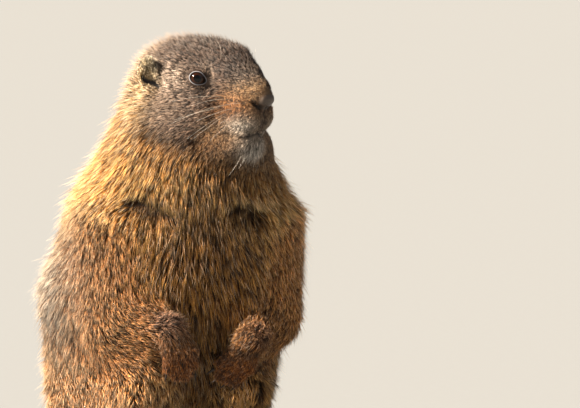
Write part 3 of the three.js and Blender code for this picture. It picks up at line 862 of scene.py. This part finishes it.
def whiskerRoots(side):
    # the follicles on one side of the muzzle, a little out of line
    wanted = [np.array(first) * (1 - t) + np.array(last) * t for first, last in whiskerRows["rows"]
              for t in np.linspace(0, 1, whiskerRows["inRow"])]
    shifts = chance.normal(0, whiskerRows["jitter"], (len(wanted), 3))
    return np.array([nearestPoint(w) for w in fromHead(mirrored(wanted, side) + shifts)])


def dotted(roots, size):
    spots = np.zeros(len(skin.points))
    for root in roots:
        spots = np.maximum(spots, np.exp(-(np.linalg.norm(skin.points - root, axis=1) / size) ** 2))
    return spots


follicles = {side: whiskerRoots(side) for side in (1, -1)}
marks["spots"] = dotted(np.concatenate(list(follicles.values())), whiskerRows["spot"])


paintValues = {
    "asHead": (-70, -40),  # heights on the head between which the neck comes to take its patches
    "bodyOff": 0.8,  # how much of a body's patch the head leaves out
    "spots": (0.95, 0.93),  # how much darker the whiskers' roots make hair and tips
    "parting": (("#1e130b", "#33210f"), 0.7, 1.3, 0.9),  # dark underfur: width, flatness, strength
}


def paint(skin, shares, marks):
    v = paintValues
    folded = foldedHead(skin.points)
    onHead = np.clip(shares["head"] + shares["muzzle"] + shares["ear"] + shares["nose"], 0, 1)
    onHead = np.clip(onHead + shares["neck"] * ramp(folded[:, 2], *v["asHead"]), 0, 1)
    layers = [sum(shares[part][:, None] * linear(colours[k]) for part, colours in partColours.items())
              for k in (0, 1)]
    for place, centre, reach, *colours, strength in patches:
        there = blob(folded if place == "head" else skin.points, centre, reach) * strength
        there = (there * (onHead if place == "head" else 1 - v["bodyOff"] * onHead))[:, None]
        layers = [layer + (linear(colour) - layer) * there for layer, colour in zip(layers, colours)]
    spots = marks["spots"][:, None]
    layers = [layer * (1 - share * spots) for layer, share in zip(layers, v["spots"])]
    colours, within, flatness, strength = v["parting"]
    for wanted, wide in lieValues["whorls"]:
        far = np.linalg.norm((skin.points - nearestPoint(wanted)) * (1, 1, flatness), axis=1)
        there = np.exp(-(far / (wide * within)) ** 2)[:, None] * strength
        layers = [layer + (linear(colour) - layer) * there for layer, colour in zip(layers, colours)]
    return layers


marks["leather"] = noseLeather(skin)
lie = layHair(skin, shares)
fields = hairFields(skin, shares, marks)
hairColour, tipColour = paint(skin, shares, marks)
print("hair laid and markings painted")


# Materials

def addNode(tree, kind, inputs=None, links=None, stops=(), **settings):
    # one shader node with its settings, plain inputs and links, and a ramp's stops in order
    node = tree.nodes.new("ShaderNode" + kind)
    for key, value in settings.items():
        setattr(node, key, value)
    for key, value in (inputs or {}).items():
        node.inputs[key].default_value = value
    for key, source in (links or {}).items():
        tree.links.new(source, node.inputs[key])
    for k, (place, colour) in enumerate(stops):
        element = node.color_ramp.elements[k] if k < 2 else node.color_ramp.elements.new(place)
        element.position, element.color = place, colour
    return node


def newMaterial(name, **constants):
    material = bpy.data.materials.new(name)
    material.use_nodes = True
    tree = material.node_tree
    shader = tree.nodes["Principled BSDF"]
    for key, value in constants.items():
        shader.inputs[key.replace("_", " ")].default_value = value
    return material, tree, shader


black, white = (0, 0, 0, 1), (1, 1, 1, 1)
mixFactor, mixA, mixB, mixed = 0, 6, 7, 2  # a colour Mix node's sockets


def guardHair():
    # keratin: each hair dark at its root, ochre along its middle, pale at its tip, with a satin gloss
    material, tree, shader = newMaterial("guard_hair", Roughness=0.5, IOR=1.43,
                                         Sheen_Weight=0.05, Sheen_Roughness=0.5)
    along, luck, hair, tips = (addNode(tree, "Attribute", attribute_name=name)
                               for name in ("along", "luck", "hairColour", "tipColour"))
    rooted = addNode(tree, "ValToRGB", links={"Fac": along.outputs["Fac"]},
                     stops=((0.3, black), (0.76, white)))
    dark = addNode(tree, "Mix", {mixFactor: 0.8, mixB: rgba("#1a100a")},
                   {mixA: hair.outputs["Color"]}, data_type="RGBA")
    body = addNode(tree, "Mix", None,
                   {mixFactor: rooted.outputs["Color"], mixA: dark.outputs[mixed],
                    mixB: hair.outputs["Color"]}, data_type="RGBA")
    tipped = addNode(tree, "ValToRGB", links={"Fac": along.outputs["Fac"]},
                     stops=((0.55, black), (0.92, white)))
    coloured = addNode(tree, "Mix", None,
                       {mixFactor: tipped.outputs["Color"], mixA: body.outputs[mixed],
                        mixB: tips.outputs["Color"]}, data_type="RGBA")
    shade = addNode(tree, "MapRange", {"To Min": 0.3, "To Max": 1.75}, {"Value": luck.outputs["Fac"]})
    bright = addNode(tree, "HueSaturation",
                     links={"Color": coloured.outputs[mixed], "Value": shade.outputs["Result"]})
    tree.links.new(bright.outputs["Color"], shader.inputs["Base Color"])
    return material


def hideSkin():
    # skin under the coat, darkened as painted shade where the hair over it is long, with pores 2 mm
    # apart; the nose is bare moist leather with 0.55 mm cells
    material, tree, shader = newMaterial("skin_and_nose_leather", Roughness=0.6, IOR=1.42)
    hair, under, dark, leather = (addNode(tree, "Attribute", attribute_name=name)
                                  for name in ("hairColour", "under", "dark", "leather"))
    place = addNode(tree, "TexCoord").outputs["Object"]
    pores = addNode(tree, "TexNoise", {"Scale": 1 / (2.0 * mm), "Detail": 4.0}, {"Vector": place})
    cells = addNode(tree, "TexVoronoi", {"Scale": 1 / (0.55 * mm)}, {"Vector": place})
    nose = addNode(tree, "Mix", {mixA: rgba("#382e28"), mixB: rgba("#645549")},
                   {mixFactor: cells.outputs["Distance"]}, data_type="RGBA")
    mottled = addNode(tree, "Mix", None,
                      {mixFactor: pores.outputs["Fac"], mixA: under.outputs["Color"],
                       mixB: hair.outputs["Color"]}, data_type="RGBA")
    coloured = addNode(tree, "Mix", None,
                       {mixFactor: leather.outputs["Fac"], mixA: mottled.outputs[mixed],
                        mixB: nose.outputs[mixed]}, data_type="RGBA")
    # the dark mark: painted shade in grooves, the ears' openings and the creases between the digits,
    # and the whisker roots' own dark spots
    inShadeAndSpots = addNode(tree, "Mix", {mixB: rgba("#120c09")},
                     {mixFactor: dark.outputs["Fac"], mixA: coloured.outputs[mixed]},
                     data_type="RGBA")
    tree.links.new(inShadeAndSpots.outputs[mixed], shader.inputs["Base Color"])
    wet = addNode(tree, "MapRange", {"To Min": 0.62, "To Max": 0.42},
                  {"Value": leather.outputs["Fac"]})
    tree.links.new(wet.outputs["Result"], shader.inputs["Roughness"])
    rough = addNode(tree, "Mix", None,
                    {mixFactor: leather.outputs["Fac"], mixA: pores.outputs["Color"],
                     mixB: cells.outputs["Color"]}, data_type="RGBA")
    bump = addNode(tree, "Bump", {"Strength": 0.5, "Distance": 0.25 * mm},
                   {"Height": rough.outputs[mixed]})
    tree.links.new(bump.outputs["Normal"], shader.inputs["Normal"])
    return material


def eyeball():
    # a dark brown iris under a wet clear cornea, read from the angle off the way it looks
    material, tree, shader = newMaterial("wet_eye", Roughness=0.25, Specular_IOR_Level=0.0,
                                         Coat_Weight=1.0, Coat_Roughness=0.015, Coat_IOR=1.36)
    off, spokes = (addNode(tree, "Attribute", attribute_name=name) for name in ("offGaze", "spoke"))
    streaks = addNode(tree, "TexNoise", {"Scale": 26.0, "Detail": 3.0},
                      {"W": spokes.outputs["Fac"]}, noise_dimensions="1D")
    iris = addNode(tree, "Mix", {mixA: rgba("#170a06"), mixB: rgba("#351b0e")},
                   {mixFactor: streaks.outputs["Fac"]}, data_type="RGBA")
    rings = addNode(tree, "ValToRGB", links={"Fac": off.outputs["Fac"]},
                    stops=((0.0, black), (0.225, black), (0.26, white), (0.4, white), (0.5, black),
                           (1.0, black)))
    coloured = addNode(tree, "Mix", {mixA: rgba("#050404")},
                       {mixFactor: rings.outputs["Color"], mixB: iris.outputs[mixed]},
                       data_type="RGBA")
    tree.links.new(coloured.outputs[mixed], shader.inputs["Base Color"])
    return material


def lidSkin():
    # bare lid skin: a dark moist inner edge, a thin pale bluish rim, and brown skin outside it
    material, tree, shader = newMaterial("lid_skin", Roughness=0.42, IOR=1.4)
    across = addNode(tree, "Attribute", attribute_name="across")
    dark, pale, outer = rgba("#0c0908"), rgba("#94959c"), rgba("#5e4b40")
    coloured = addNode(tree, "ValToRGB", links={"Fac": across.outputs["Fac"]},
                       stops=((0.0, dark), (0.34, dark), (0.44, pale), (0.56, pale), (0.7, outer)))
    tree.links.new(coloured.outputs["Color"], shader.inputs["Base Color"])
    return material


def clawHorn():
    # horn: dark brown keratin, smooth along its length, with grain 3 mm long
    material, tree, shader = newMaterial("claw_horn", Roughness=0.48, IOR=1.5)
    place = addNode(tree, "TexCoord").outputs["Object"]
    grain = addNode(tree, "TexNoise", {"Scale": 1 / (3.0 * mm), "Detail": 3.0}, {"Vector": place})
    coloured = addNode(tree, "Mix", {mixA: rgba("#17110d"), mixB: rgba("#3d2e24")},
                       {mixFactor: grain.outputs["Fac"]}, data_type="RGBA")
    tree.links.new(coloured.outputs[mixed], shader.inputs["Base Color"])
    return material


def whiskerHair():
    # long sensory hairs: glassy keratin, dark at the root and pale along the rest
    material, tree, shader = newMaterial("whisker_hair", Roughness=0.3, IOR=1.55)
    along = addNode(tree, "Attribute", attribute_name="along")
    coloured = addNode(tree, "ValToRGB", links={"Fac": along.outputs["Fac"]},
                       stops=((0.0, rgba("#2a1d16")), (0.25, rgba("#a89987")),
                              (1.0, rgba("#efe9df"))))
    tree.links.new(coloured.outputs["Color"], shader.inputs["Base Color"])
    return material


# The skin becomes a piece

skinLooks = {
    "coatShadeLifts": (13, 4),  # under hair of these lengths the painted shade on the skin starts to lift, and has lifted fully
    "pores": (0.3, 0.4),  # the skin's brightness under long hair, dimmed as painted shade under the coat, and what short hair adds
    # the same for the darker pores, also dimmed as painted shade under long hair
    "under": (0.12, 0.34),
    # the ears' openings get painted shade; the whisker roots' spots are their own dark colour
    "spotDark": 0.8, "canalShade": 1.3,
}


def finishSkin():
    v = skinLooks
    mesh = shell.data
    mesh.vertices.foreach_set("co", toMetres(skin.points).astype(np.float32).ravel())
    mesh.polygons.foreach_set("use_smooth", np.full(len(mesh.polygons), True))
    # the skin is darker the longer the hair over it: painted shade under the coat
    shadeLifted = ramp(fields["length"], *v["coatShadeLifts"])[:, None]
    giveColour(mesh, "hairColour", hairColour * (v["pores"][0] + v["pores"][1] * shadeLifted))
    giveColour(mesh, "under", hairColour * (v["under"][0] + v["under"][1] * shadeLifted))
    giveNumber(mesh, "leather", marks["leather"])
    # painted shade in the nostrils, mouth line, philtrum, ears' openings and creases between the
    # digits, with the whisker roots' own dark spots
    paintedShadeAndSpots = marks["dark"] + marks["spots"] * v["spotDark"] + marks["canal"] * v["canalShade"]
    giveNumber(mesh, "dark", np.clip(paintedShadeAndSpots, 0, 1))
    mesh.update()
    mesh.materials.append(hideSkin())
    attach(shell, "root")
    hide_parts(*fleshNodes)


finishSkin()
print("skin finished")


# Eyes and lids

eyeValues = {
    "segments": 48, "rings": 32,
    "cornea": (38, 0.45),  # its reach in degrees and how far it stands out, in mm
    "lidAround": 72,
    "lidOuter": 7,  # the section's point where the bare lid ends
    # in openings out and mm over the ball
    "lidSection": ((0.86, -0.5), (0.91, 0.05), (0.96, 0.3), (1.005, 0.44), (1.045, 0.5), (1.1, 0.46),
                   (1.18, 0.32), (1.3, 0.0), (1.42, -0.9), (1.25, -1.3), (1.0, -1.1)),
}


def makeEye(sideName, side, material):
    centre = toMetres(fromHead(eyeMiddleOf(side)))
    bpy.ops.object.select_all(action="DESELECT")
    bpy.ops.mesh.primitive_uv_sphere_add(
        segments=eyeValues["segments"], ring_count=eyeValues["rings"],
        radius=eyeRadius * mm, location=centre)
    ball = bpy.context.object
    ball.name = ball.data.name = "eyeball_" + sideName
    bpy.ops.object.transform_apply(location=True, rotation=True, scale=True)
    bpy.ops.object.shade_smooth()
    gaze, along, across = (headWay(axis) for axis in eyeAxes(side))
    offsets = arrays(ball.data) - centre
    off = np.degrees(np.arccos(np.clip(unit(offsets) @ gaze, -1, 1)))
    reach, stands = eyeValues["cornea"]
    offsets = offsets + unit(offsets) * (ramp(off, reach, 0) * stands * mm)[:, None]
    ball.data.vertices.foreach_set("co", (centre + offsets).astype(np.float32).ravel())
    giveNumber(ball.data, "offGaze", off / 90)
    giveNumber(ball.data, "spoke", np.arctan2(offsets @ across, offsets @ along) / math.pi)
    ball.data.update()
    ball.data.materials.append(material)
    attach(ball, "root")
    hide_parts("eye_" + sideName)


def slitWay(angle, reach, side):
    # the direction from the eye's middle at an angle round its opening
    gaze, along, across = eyeAxes(side)
    back, front, up, down = faceValues["slit"]
    a = np.cos(angle) * np.where(np.cos(angle) > 0, front, back) * reach
    b = np.sin(angle) * np.where(np.sin(angle) > 0, up, down) * pinched(a) * reach
    a, b = np.radians(a)[..., None], np.radians(b)[..., None]
    return (gaze * np.cos(a) + along * np.sin(a)) * np.cos(b) + across * np.sin(b)


def makeLid(sideName, side, material):
    around, section = eyeValues["lidAround"], eyeValues["lidSection"]
    angles = np.linspace(0, 2 * math.pi, around, endpoint=False)
    rings = [eyeMiddleOf(side) + slitWay(angles, reach, side) * (eyeRadius + high)
             for reach, high in section]
    points = toMetres(fromHead(np.concatenate(rings)))
    quads = []
    for i in range(len(section)):
        ring, outer = i * around, (i + 1) % len(section) * around
        for j in range(around):
            k = (j + 1) % around
            quad = (ring + j, ring + k, outer + k, outer + j)
            quads.append(quad if side < 0 else quad[::-1])
    lid = meshPiece("eyelid_" + sideName, points, np.array(quads))
    outward = np.minimum(np.arange(len(section)) / eyeValues["lidOuter"], 1)
    giveNumber(lid.data, "across", np.repeat(outward, around))
    lid.data.materials.append(material)
    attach(lid, "root")


eyeMaterial, lidMaterial = eyeball(), lidSkin()
for sideName, side in (("left", 1), ("right", -1)):
    makeEye(sideName, side, eyeMaterial)
    makeLid(sideName, side, lidMaterial)
print("eyes and lids made")


# Claws

clawValues = {"roundness": 2}  # levels of subdivision


def makeClaws(limb, sideName, material):
    names = ["claw_{}_{}_{}".format(limb, sideName, k + 1) for k in range(pawValues[limb]["count"])]
    claws, _ = joinedCopies("claws_{}_{}".format(limb, sideName), names)
    rounding = claws.modifiers.new("round", "SUBSURF")
    rounding.levels = rounding.render_levels = clawValues["roundness"]
    bpy.ops.object.modifier_apply(modifier=rounding.name)
    bpy.ops.object.shade_smooth()
    claws.data.materials.append(material)
    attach(claws, "root")
    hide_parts(*names)


clawMaterial = clawHorn()
for limb in ("fore", "hind"):
    for sideName in ("left", "right"):
        makeClaws(limb, sideName, clawMaterial)
print("claws made")


# Whiskers: tapered three-sided hairs, bending back and down

whiskerValues = {
    "length": (26, 46), "byColumn": (0.55, 0.09), "radius": 0.15, "thinning": 0.86, "steps": 9,
    "way": ((0.75, 0.25, 0.25), (0.1, 0.14, 0), (0, 0, -0.26)),  # and by column, by row
    "bend": (0.05, 0.4), "droop": 0.5, "spread": 0.09,
    "others": (  # roots, lengths and way
        (((16, -16, 12), (13, -20, 11)), (12, 20), (0.35, -0.45, 0.8)),  # brow
        (((5, -36, -49), (8, -32, -50), (3, -37, -50), (10, -28, -49)),  # chin
         (12, 20), (0.25, -0.35, -0.8)),
    ),
    "othersBend": (0, 0.45, -0.1), "othersSpread": 0.25,
}


def hairTubes(roots, ways, bends, lengths):
    # each hair is a closed three-sided tube that thins to a point
    steps, radius = whiskerValues["steps"], whiskerValues["radius"]
    points, faces, along = [], [], []
    for root, way, bend, length in zip(roots, ways, bends, lengths):
        t = np.linspace(0, 1, steps)
        line = root + np.outer(t * length, way) + np.outer(t ** 2 * length, bend)
        side = unit(np.cross(way, (0.3, 0.2, 0.9)))
        other = unit(np.cross(way, side))
        first = sum(len(p) for p in points)
        thin = radius * (1 - t * whiskerValues["thinning"])
        turns = (math.radians(a) for a in (0, 120, 240))
        ring = [line + np.outer(thin, math.cos(a) * side + math.sin(a) * other) for a in turns]
        points.append(np.stack(ring, 1).reshape(-1, 3))
        along.append(np.repeat(t, 3))
        for i in range(steps - 1):
            for k in range(3):
                a, b = first + 3 * i + k, first + 3 * i + (k + 1) % 3
                faces += [(a, b, b + 3), (a, b + 3, a + 3)]
        last = first + 3 * (steps - 1)
        faces += [(first + 2, first + 1, first), (last, last + 1, last + 2)]
    return np.concatenate(points), np.array(faces), np.concatenate(along)


def makeWhiskers():
    v = whiskerValues
    roots, ways, bends, lengths = [], [], [], []
    first, byColumn, byRow = (np.array(way) for way in v["way"])
    least, more = v["byColumn"]
    aside, back = v["bend"]
    for side in (1, -1):
        for k, root in enumerate(follicles[side]):
            row, column = divmod(k, whiskerRows["inRow"])
            if (row + column) % 2:
                continue
            way = mirrored(first + byColumn * column + byRow * row, side)
            ways.append(unit(headWay(way) + chance.normal(0, v["spread"], 3)))
            bends.append(headWay((-side * aside, back, -v["droop"] * chance.uniform(0.3, 1))))
            roots.append(root)
            lengths.append(chance.uniform(*v["length"]) * (least + more * column))
        for places, reach, way in v["others"]:
            for place in places:
                roots.append(snapped(skin, mirrored((place, place), side), 1)[0])
                spread = chance.normal(0, v["othersSpread"], 3)
                ways.append(unit(headWay(mirrored(way, side)) + spread))
                bends.append(headWay(v["othersBend"]))
                lengths.append(chance.uniform(*reach))
    points, faces, along = hairTubes(roots, ways, bends, lengths)
    whiskers = meshPiece("whiskers", toMetres(points), faces)
    giveNumber(whiskers.data, "along", along)
    whiskers.data.materials.append(whiskerHair())
    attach(whiskers, "root")


makeWhiskers()
print("whiskers made")


# The coat: closed spindles of six faces, each a lock of hair, in pieces by place on the body

coatValues = {
    "mostTufts": 33000,  # in a piece, to stay under 200,000 faces
    "allTufts": 246000,
    "lengths": (0.72, 1.18), "widths": (0.75, 1.2),  # from the shortest and thinnest to the other end
    "riseSpread": 7,
    "bendAt": 0.52, "rootRise": 1.3, "tipRise": 0.5, "strayTip": 0.75,  # shares of the rise
    "curl": 0.035,
    "middlePull": 0.3,  # of a tip's pull into its lock
    "rootDepth": 0.4, "flatness": 0.6, "floor": 0.15,
    "strays": 0.13, "strayLonger": 0.05, "strayThinner": 0.45, "strayRise": 11,
    "spikeLonger": 0.2, "spikeWider": 0.5, "spikeRise": 10,  # strays of the crown and nape
    "pale": "#f4ead8", "paleStrays": 0.5, "paleOffFace": 0.8, "paleSpikes": 0.1,
    "darkHairs": 0.25, "darkTint": 0.2,
    "ofLock": 0.75,  # how much the tufts of a lock are alike
    "patch": 0.0028,  # a tuft's patch on the map for baking
    "seam": -4, "headSeam": 0,  # x between left and right pieces
    "neckSeam": -14, "trunkSeams": (-8, 128),  # y of the neck's, y and z of the trunk's
}
tuftFan = np.array([(0, 2, 1), (0, 3, 2), (0, 1, 3), (4, 1, 2), (4, 2, 3), (4, 3, 1)])
tuftPatch = np.array([(0, -0.5), (-0.3, 0), (0, 0), (0.3, 0), (0, 0.5)])


def pieceOf(skin, shares):
    # the name of the coat piece that each face of the skin grows
    v = coatValues
    p = skin.points[skin.faces].mean(1)
    parts = list(shares)
    faceShares = np.stack([shares[part][skin.faces].mean(1) for part in parts], 1)
    best = np.array(parts, dtype=object)[np.argmax(faceShares, 1)]
    choose = lambda test, yes, no: np.where(test, yes, no).astype(object)
    side = choose(p[:, 0] > v["seam"], "_left", "_right")
    headSide = choose(toHead(p)[:, 0] > v["headSeam"], "_left", "_right")
    neckSide = choose(p[:, 1] < v["neckSeam"], "_front", "_back")
    front, high = p[:, 1] < v["trunkSeams"][0], p[:, 2] > v["trunkSeams"][1]
    trunk = choose(front, choose(high, "chest", "belly"), choose(high, "shoulders", "rump"))
    own = {"trunk": trunk, "neck": "neck" + neckSide, "head": "head" + headSide, "muzzle": "muzzle",
           "nose": "muzzle", "ear": "ears", "foreleg": "foreleg" + side, "hindleg": "hindleg" + side,
           "forepaw": "paws", "hindfoot": "paws"}
    names = best
    for part, name in own.items():
        names = choose(best == part, name, names)
    return "coat_" + names


def unwrapped(skin, faces):
    # the region of skin laid flat on the unit square; gives each face's corners there
    used, corners = np.unique(skin.faces[faces], return_inverse=True)
    patch = meshPiece("unwrap", toMetres(skin.points[used]), corners.reshape(-1, 3))
    pickOnly(patch)
    patch.data.uv_layers.new(name="OFBake")
    bpy.ops.object.mode_set(mode="EDIT")
    bpy.ops.mesh.select_all(action="SELECT")
    bpy.ops.uv.smart_project(angle_limit=math.radians(66), island_margin=0.004, scale_to_bounds=True)
    bpy.ops.object.mode_set(mode="OBJECT")
    flatPlaces = np.empty(len(faces) * 6, np.float32)
    patch.data.uv_layers[0].data.foreach_get("uv", flatPlaces)
    mesh = patch.data
    bpy.data.objects.remove(patch)
    bpy.data.meshes.remove(mesh)
    return flatPlaces.reshape(-1, 3, 2)


def turned(ways, axes, angles):
    # each way turned round its own axis
    c, s = np.cos(angles)[:, None], np.sin(angles)[:, None]
    return ways * c + np.cross(axes, ways) * s + axes * (axes * ways).sum(1, keepdims=True) * (1 - c)


def leadersOf(roots, lock):
    # the nearest leader to each tuft; a leader and its tufts make one lock
    leaders = chance.permutation(len(roots))[::lock]
    tree = KDTree(len(leaders))
    for i, leader in enumerate(leaders):
        tree.insert(Vector(roots[leader]), i)
    tree.balance()
    return leaders[[tree.find(Vector(root))[1] for root in roots]]


def placeTufts(weights, thin):
    # which face each tuft grows from and where in it, even over the skin by the hair's density
    count = min(int(weights.sum() * thin), coatValues["mostTufts"])
    stops = np.cumsum(weights)
    picks = np.searchsorted(stops, (np.arange(count) + chance.random(count)) / count * stops[-1])
    r, s = np.sqrt(chance.random(count)), chance.random(count)
    return np.minimum(picks, len(weights) - 1), np.stack([1 - r, r * (1 - s), r * s], 1)[:, :, None]


def spindles(roots, middles, tips, normals, widths):
    # root, a ring of three and tip of each tuft
    way = unit(tips - roots)
    side = unit(np.cross(way, normals))
    other = np.cross(way, side) * coatValues["flatness"]
    spin = chance.uniform(0, 2 * math.pi, len(roots))
    ring = []
    for k in range(3):
        angle = (spin + k * 2 * math.pi / 3)[:, None]
        across = side * np.cos(angle) + other * np.sin(angle)
        ring.append(middles + across * (widths / 2)[:, None])
    points = np.stack([roots, *ring, tips], 1)
    points[:, :, 2] = np.maximum(points[:, :, 2], coatValues["floor"])
    return points


def combTufts(read, stray, spiky):
    # the tufts' points, and each one's leader
    v, count, bend = coatValues, len(stray), coatValues["bendAt"]
    roots, normals = read(skin.points), unit(read(skinNormals))
    turns = np.radians(chance.normal(0, 1, count) * read(fields["turn"]))
    ways = turned(flat(read(lie), normals), normals, turns)
    lengths = read(fields["length"]) * chance.uniform(*v["lengths"], count)
    lengths = lengths * (1 + stray * v["strayLonger"] + spiky * v["spikeLonger"])
    widths = read(fields["width"]) * chance.uniform(*v["widths"], count)
    widths = widths * (1 - v["strayThinner"] * stray + v["spikeWider"] * spiky)
    rises = read(fields["rise"]) + chance.normal(0, v["riseSpread"], count)
    rises = np.radians(rises + stray * v["strayRise"] + spiky * v["spikeRise"])
    low, high = rises * v["rootRise"], rises * np.where(stray, v["strayTip"], v["tipRise"])
    step = lambda angle: ways * np.cos(angle)[:, None] + normals * np.sin(angle)[:, None]
    middles = roots + step(low) * (lengths * bend)[:, None]
    curl = (chance.normal(0, v["curl"], count) * lengths)[:, None]
    tips = middles + step(high) * (lengths * (1 - bend))[:, None] + np.cross(normals, ways) * curl
    leaders = leadersOf(roots, int(round(read(fields["lock"]).mean())))
    pull = (tips[leaders] - tips) * np.where(stray, 0, read(fields["pull"]))[:, None]
    roots = roots - normals * v["rootDepth"]
    return spindles(roots, middles + pull * v["middlePull"], tips + pull, normals, widths), leaders


def colourTufts(mesh, read, stray, spiky, leaders):
    # dark hairs, pale strays and some luck in brightness, mostly alike within a lock
    v, count, bend = coatValues, len(stray), coatValues["bendAt"]
    dark = chance.random(count) < v["darkHairs"]
    dark = np.where(chance.random(count) < v["ofLock"], dark[leaders], dark)
    tint = np.where(dark & ~stray, v["darkTint"], 1)[:, None]
    offFace = 1 - v["paleOffFace"] * read(shares["head"] + shares["muzzle"])
    pale = v["paleStrays"] * (stray * offFace + v["paleSpikes"] * spiky)
    tips = read(tipColour) + (linear(v["pale"]) - read(tipColour)) * pale[:, None]
    giveColour(mesh, "hairColour", np.repeat(read(hairColour) * tint, 5, 0))
    giveColour(mesh, "tipColour", np.repeat(tips * tint, 5, 0))
    giveNumber(mesh, "along", np.tile((0, bend, bend, bend, 1), count))
    luck = chance.random(count)
    giveNumber(mesh, "luck", np.repeat(luck + (luck[leaders] - luck) * v["ofLock"], 5))


def growCoat(name, faces, weights, thin, material):
    picks, share = placeTufts(weights, thin)
    count, patch = len(picks), coatValues["patch"]
    corners = skin.faces[faces[picks]]
    read = lambda values: (values[corners] * (share if values.ndim > 1 else share[:, :, 0])).sum(1)
    stray = chance.random(count) < coatValues["strays"]
    spiky = stray * read(fields["spikes"])
    points, leaders = combTufts(read, stray, spiky)
    triangles = (np.arange(count)[:, None, None] * 5 + tuftFan).reshape(-1, 3)
    coat = meshPiece(name, toMetres(points.reshape(-1, 3)), triangles)
    colourTufts(coat.data, read, stray, spiky, leaders)
    places = (unwrapped(skin, faces)[picks] * share).sum(1)
    places = np.clip(places, patch, 1 - patch)[:, None] + tuftPatch * patch
    layer = coat.data.uv_layers.new(name="OFBake")
    places = places.reshape(-1, 2)[triangles.ravel()].astype(np.float32)
    layer.data.foreach_set("uv", places.ravel())
    coat.data.materials.append(material)
    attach(coat, "root")
    return count


skinNormals = skin.normals()
names = pieceOf(skin, shares)
weights = skin.areas() * fields["density"][skin.faces].mean(1)
thin = min(1, coatValues["allTufts"] / weights.sum())
print("tufts wanted:", int(weights.sum()), "kept:", round(thin, 3))
hairMaterial = guardHair()
for name in sorted(set(names)):
    faces = np.flatnonzero(names == name)
    print(name, growCoat(name, faces, weights[faces], thin, hairMaterial), "tufts")


# Floor, light and camera

stageValues = {
    "floor": (400, "#919394"),  # its width in metres, so that it fills the picture, and colour
    "floorGap": 0.2,  # under the feet, in mm
    "fibre": (8, 0.96, 1.02),  # its size in mm, and how it darkens and lightens the paper
    # degrees right of the camera and up, softness in degrees, strength, colour
    "key": (-74, 30, 6, 15.0, "#fff0dc"),
    "rim": (-138, 36, 12, 1.8, "#fff6ea"),
    "fill": (45, 30, 50, 0.2, "#e6eefa"),
    "lit": (0, -10, 130),  # where the lamps point, and how many metres away they stand
    "lampsOff": 2,
    "air": ("#dfe6ee", 0.25),
}
cameraValues = {
    "target": (76.27, -19.04, 167.9),  # in the middle of the picture, on the part's own origin
    "azimuth": -14, "elevation": 2, "distance": 5.0,
    "frameWidth": 414.3,  # mm across the picture at the animal
    "sensor": 36, "farthest": 1000,
}


def around(azimuth, elevation, distance):
    a, e = math.radians(azimuth), math.radians(elevation)
    return Vector((math.sin(a) * math.cos(e), -math.cos(a) * math.cos(e), math.sin(e))) * distance


def aimed(thing, at):
    thing.rotation_euler = (at - thing.location).to_track_quat("-Z", "Y").to_euler()


def paper():
    # seamless matt paper floor, with a faint fibre
    material, tree, shader = newMaterial("matt_paper", Roughness=0.9, Specular_IOR_Level=0.0)
    place = addNode(tree, "TexCoord").outputs["Object"]
    size, darker, lighter = stageValues["fibre"]
    fibre = addNode(tree, "TexNoise", {"Scale": 1 / (size * mm), "Detail": 5.0}, {"Vector": place})
    base = linear(stageValues["floor"][1])
    coloured = addNode(tree, "Mix", {mixA: (*base * darker, 1), mixB: (*base * lighter, 1)},
                       {mixFactor: fibre.outputs["Fac"]}, data_type="RGBA")
    tree.links.new(coloured.outputs[mixed], shader.inputs["Base Color"])
    return material


def makeFloor():
    bpy.ops.object.select_all(action="DESELECT")
    below = (0, 0, -stageValues["floorGap"] * mm)
    bpy.ops.mesh.primitive_plane_add(size=stageValues["floor"][0], location=below)
    floor = bpy.context.object
    floor.name = floor.data.name = "paper_floor"
    floor.data.materials.append(paper())


def makeLight(name, azimuth, elevation, softness, strength, colour):
    bpy.ops.object.light_add(type="SUN")
    light = bpy.context.object
    light.name = light.data.name = name
    lit = Vector(toMetres(stageValues["lit"]))
    turn = cameraValues["azimuth"] + azimuth
    light.location = lit + around(turn, elevation, stageValues["lampsOff"])
    aimed(light, lit)
    light.data.angle, light.data.energy = math.radians(softness), strength
    light.data.color = tuple(linear(colour))


def makeCamera():
    v = cameraValues
    target = Vector(toMetres(v["target"]))
    bpy.ops.object.camera_add()
    camera = bpy.context.object
    camera.location = target + around(v["azimuth"], v["elevation"], v["distance"])
    aimed(camera, target)
    camera.data.sensor_width = v["sensor"]
    camera.data.lens = v["sensor"] * v["distance"] / (v["frameWidth"] * mm)
    camera.data.clip_end = v["farthest"]
    bpy.context.scene.camera = camera


makeFloor()
for name in ("key", "rim", "fill"):
    makeLight(name + "_light", *stageValues[name])
air = bpy.data.worlds.new("studio_air")
bpy.context.scene.world = air
air.use_nodes = True
background = air.node_tree.nodes["Background"]
background.inputs["Color"].default_value = rgba(stageValues["air"][0])
background.inputs["Strength"].default_value = stageValues["air"][1]
makeCamera()
bpy.context.scene.view_settings.view_transform = "Standard"
print("stage set")
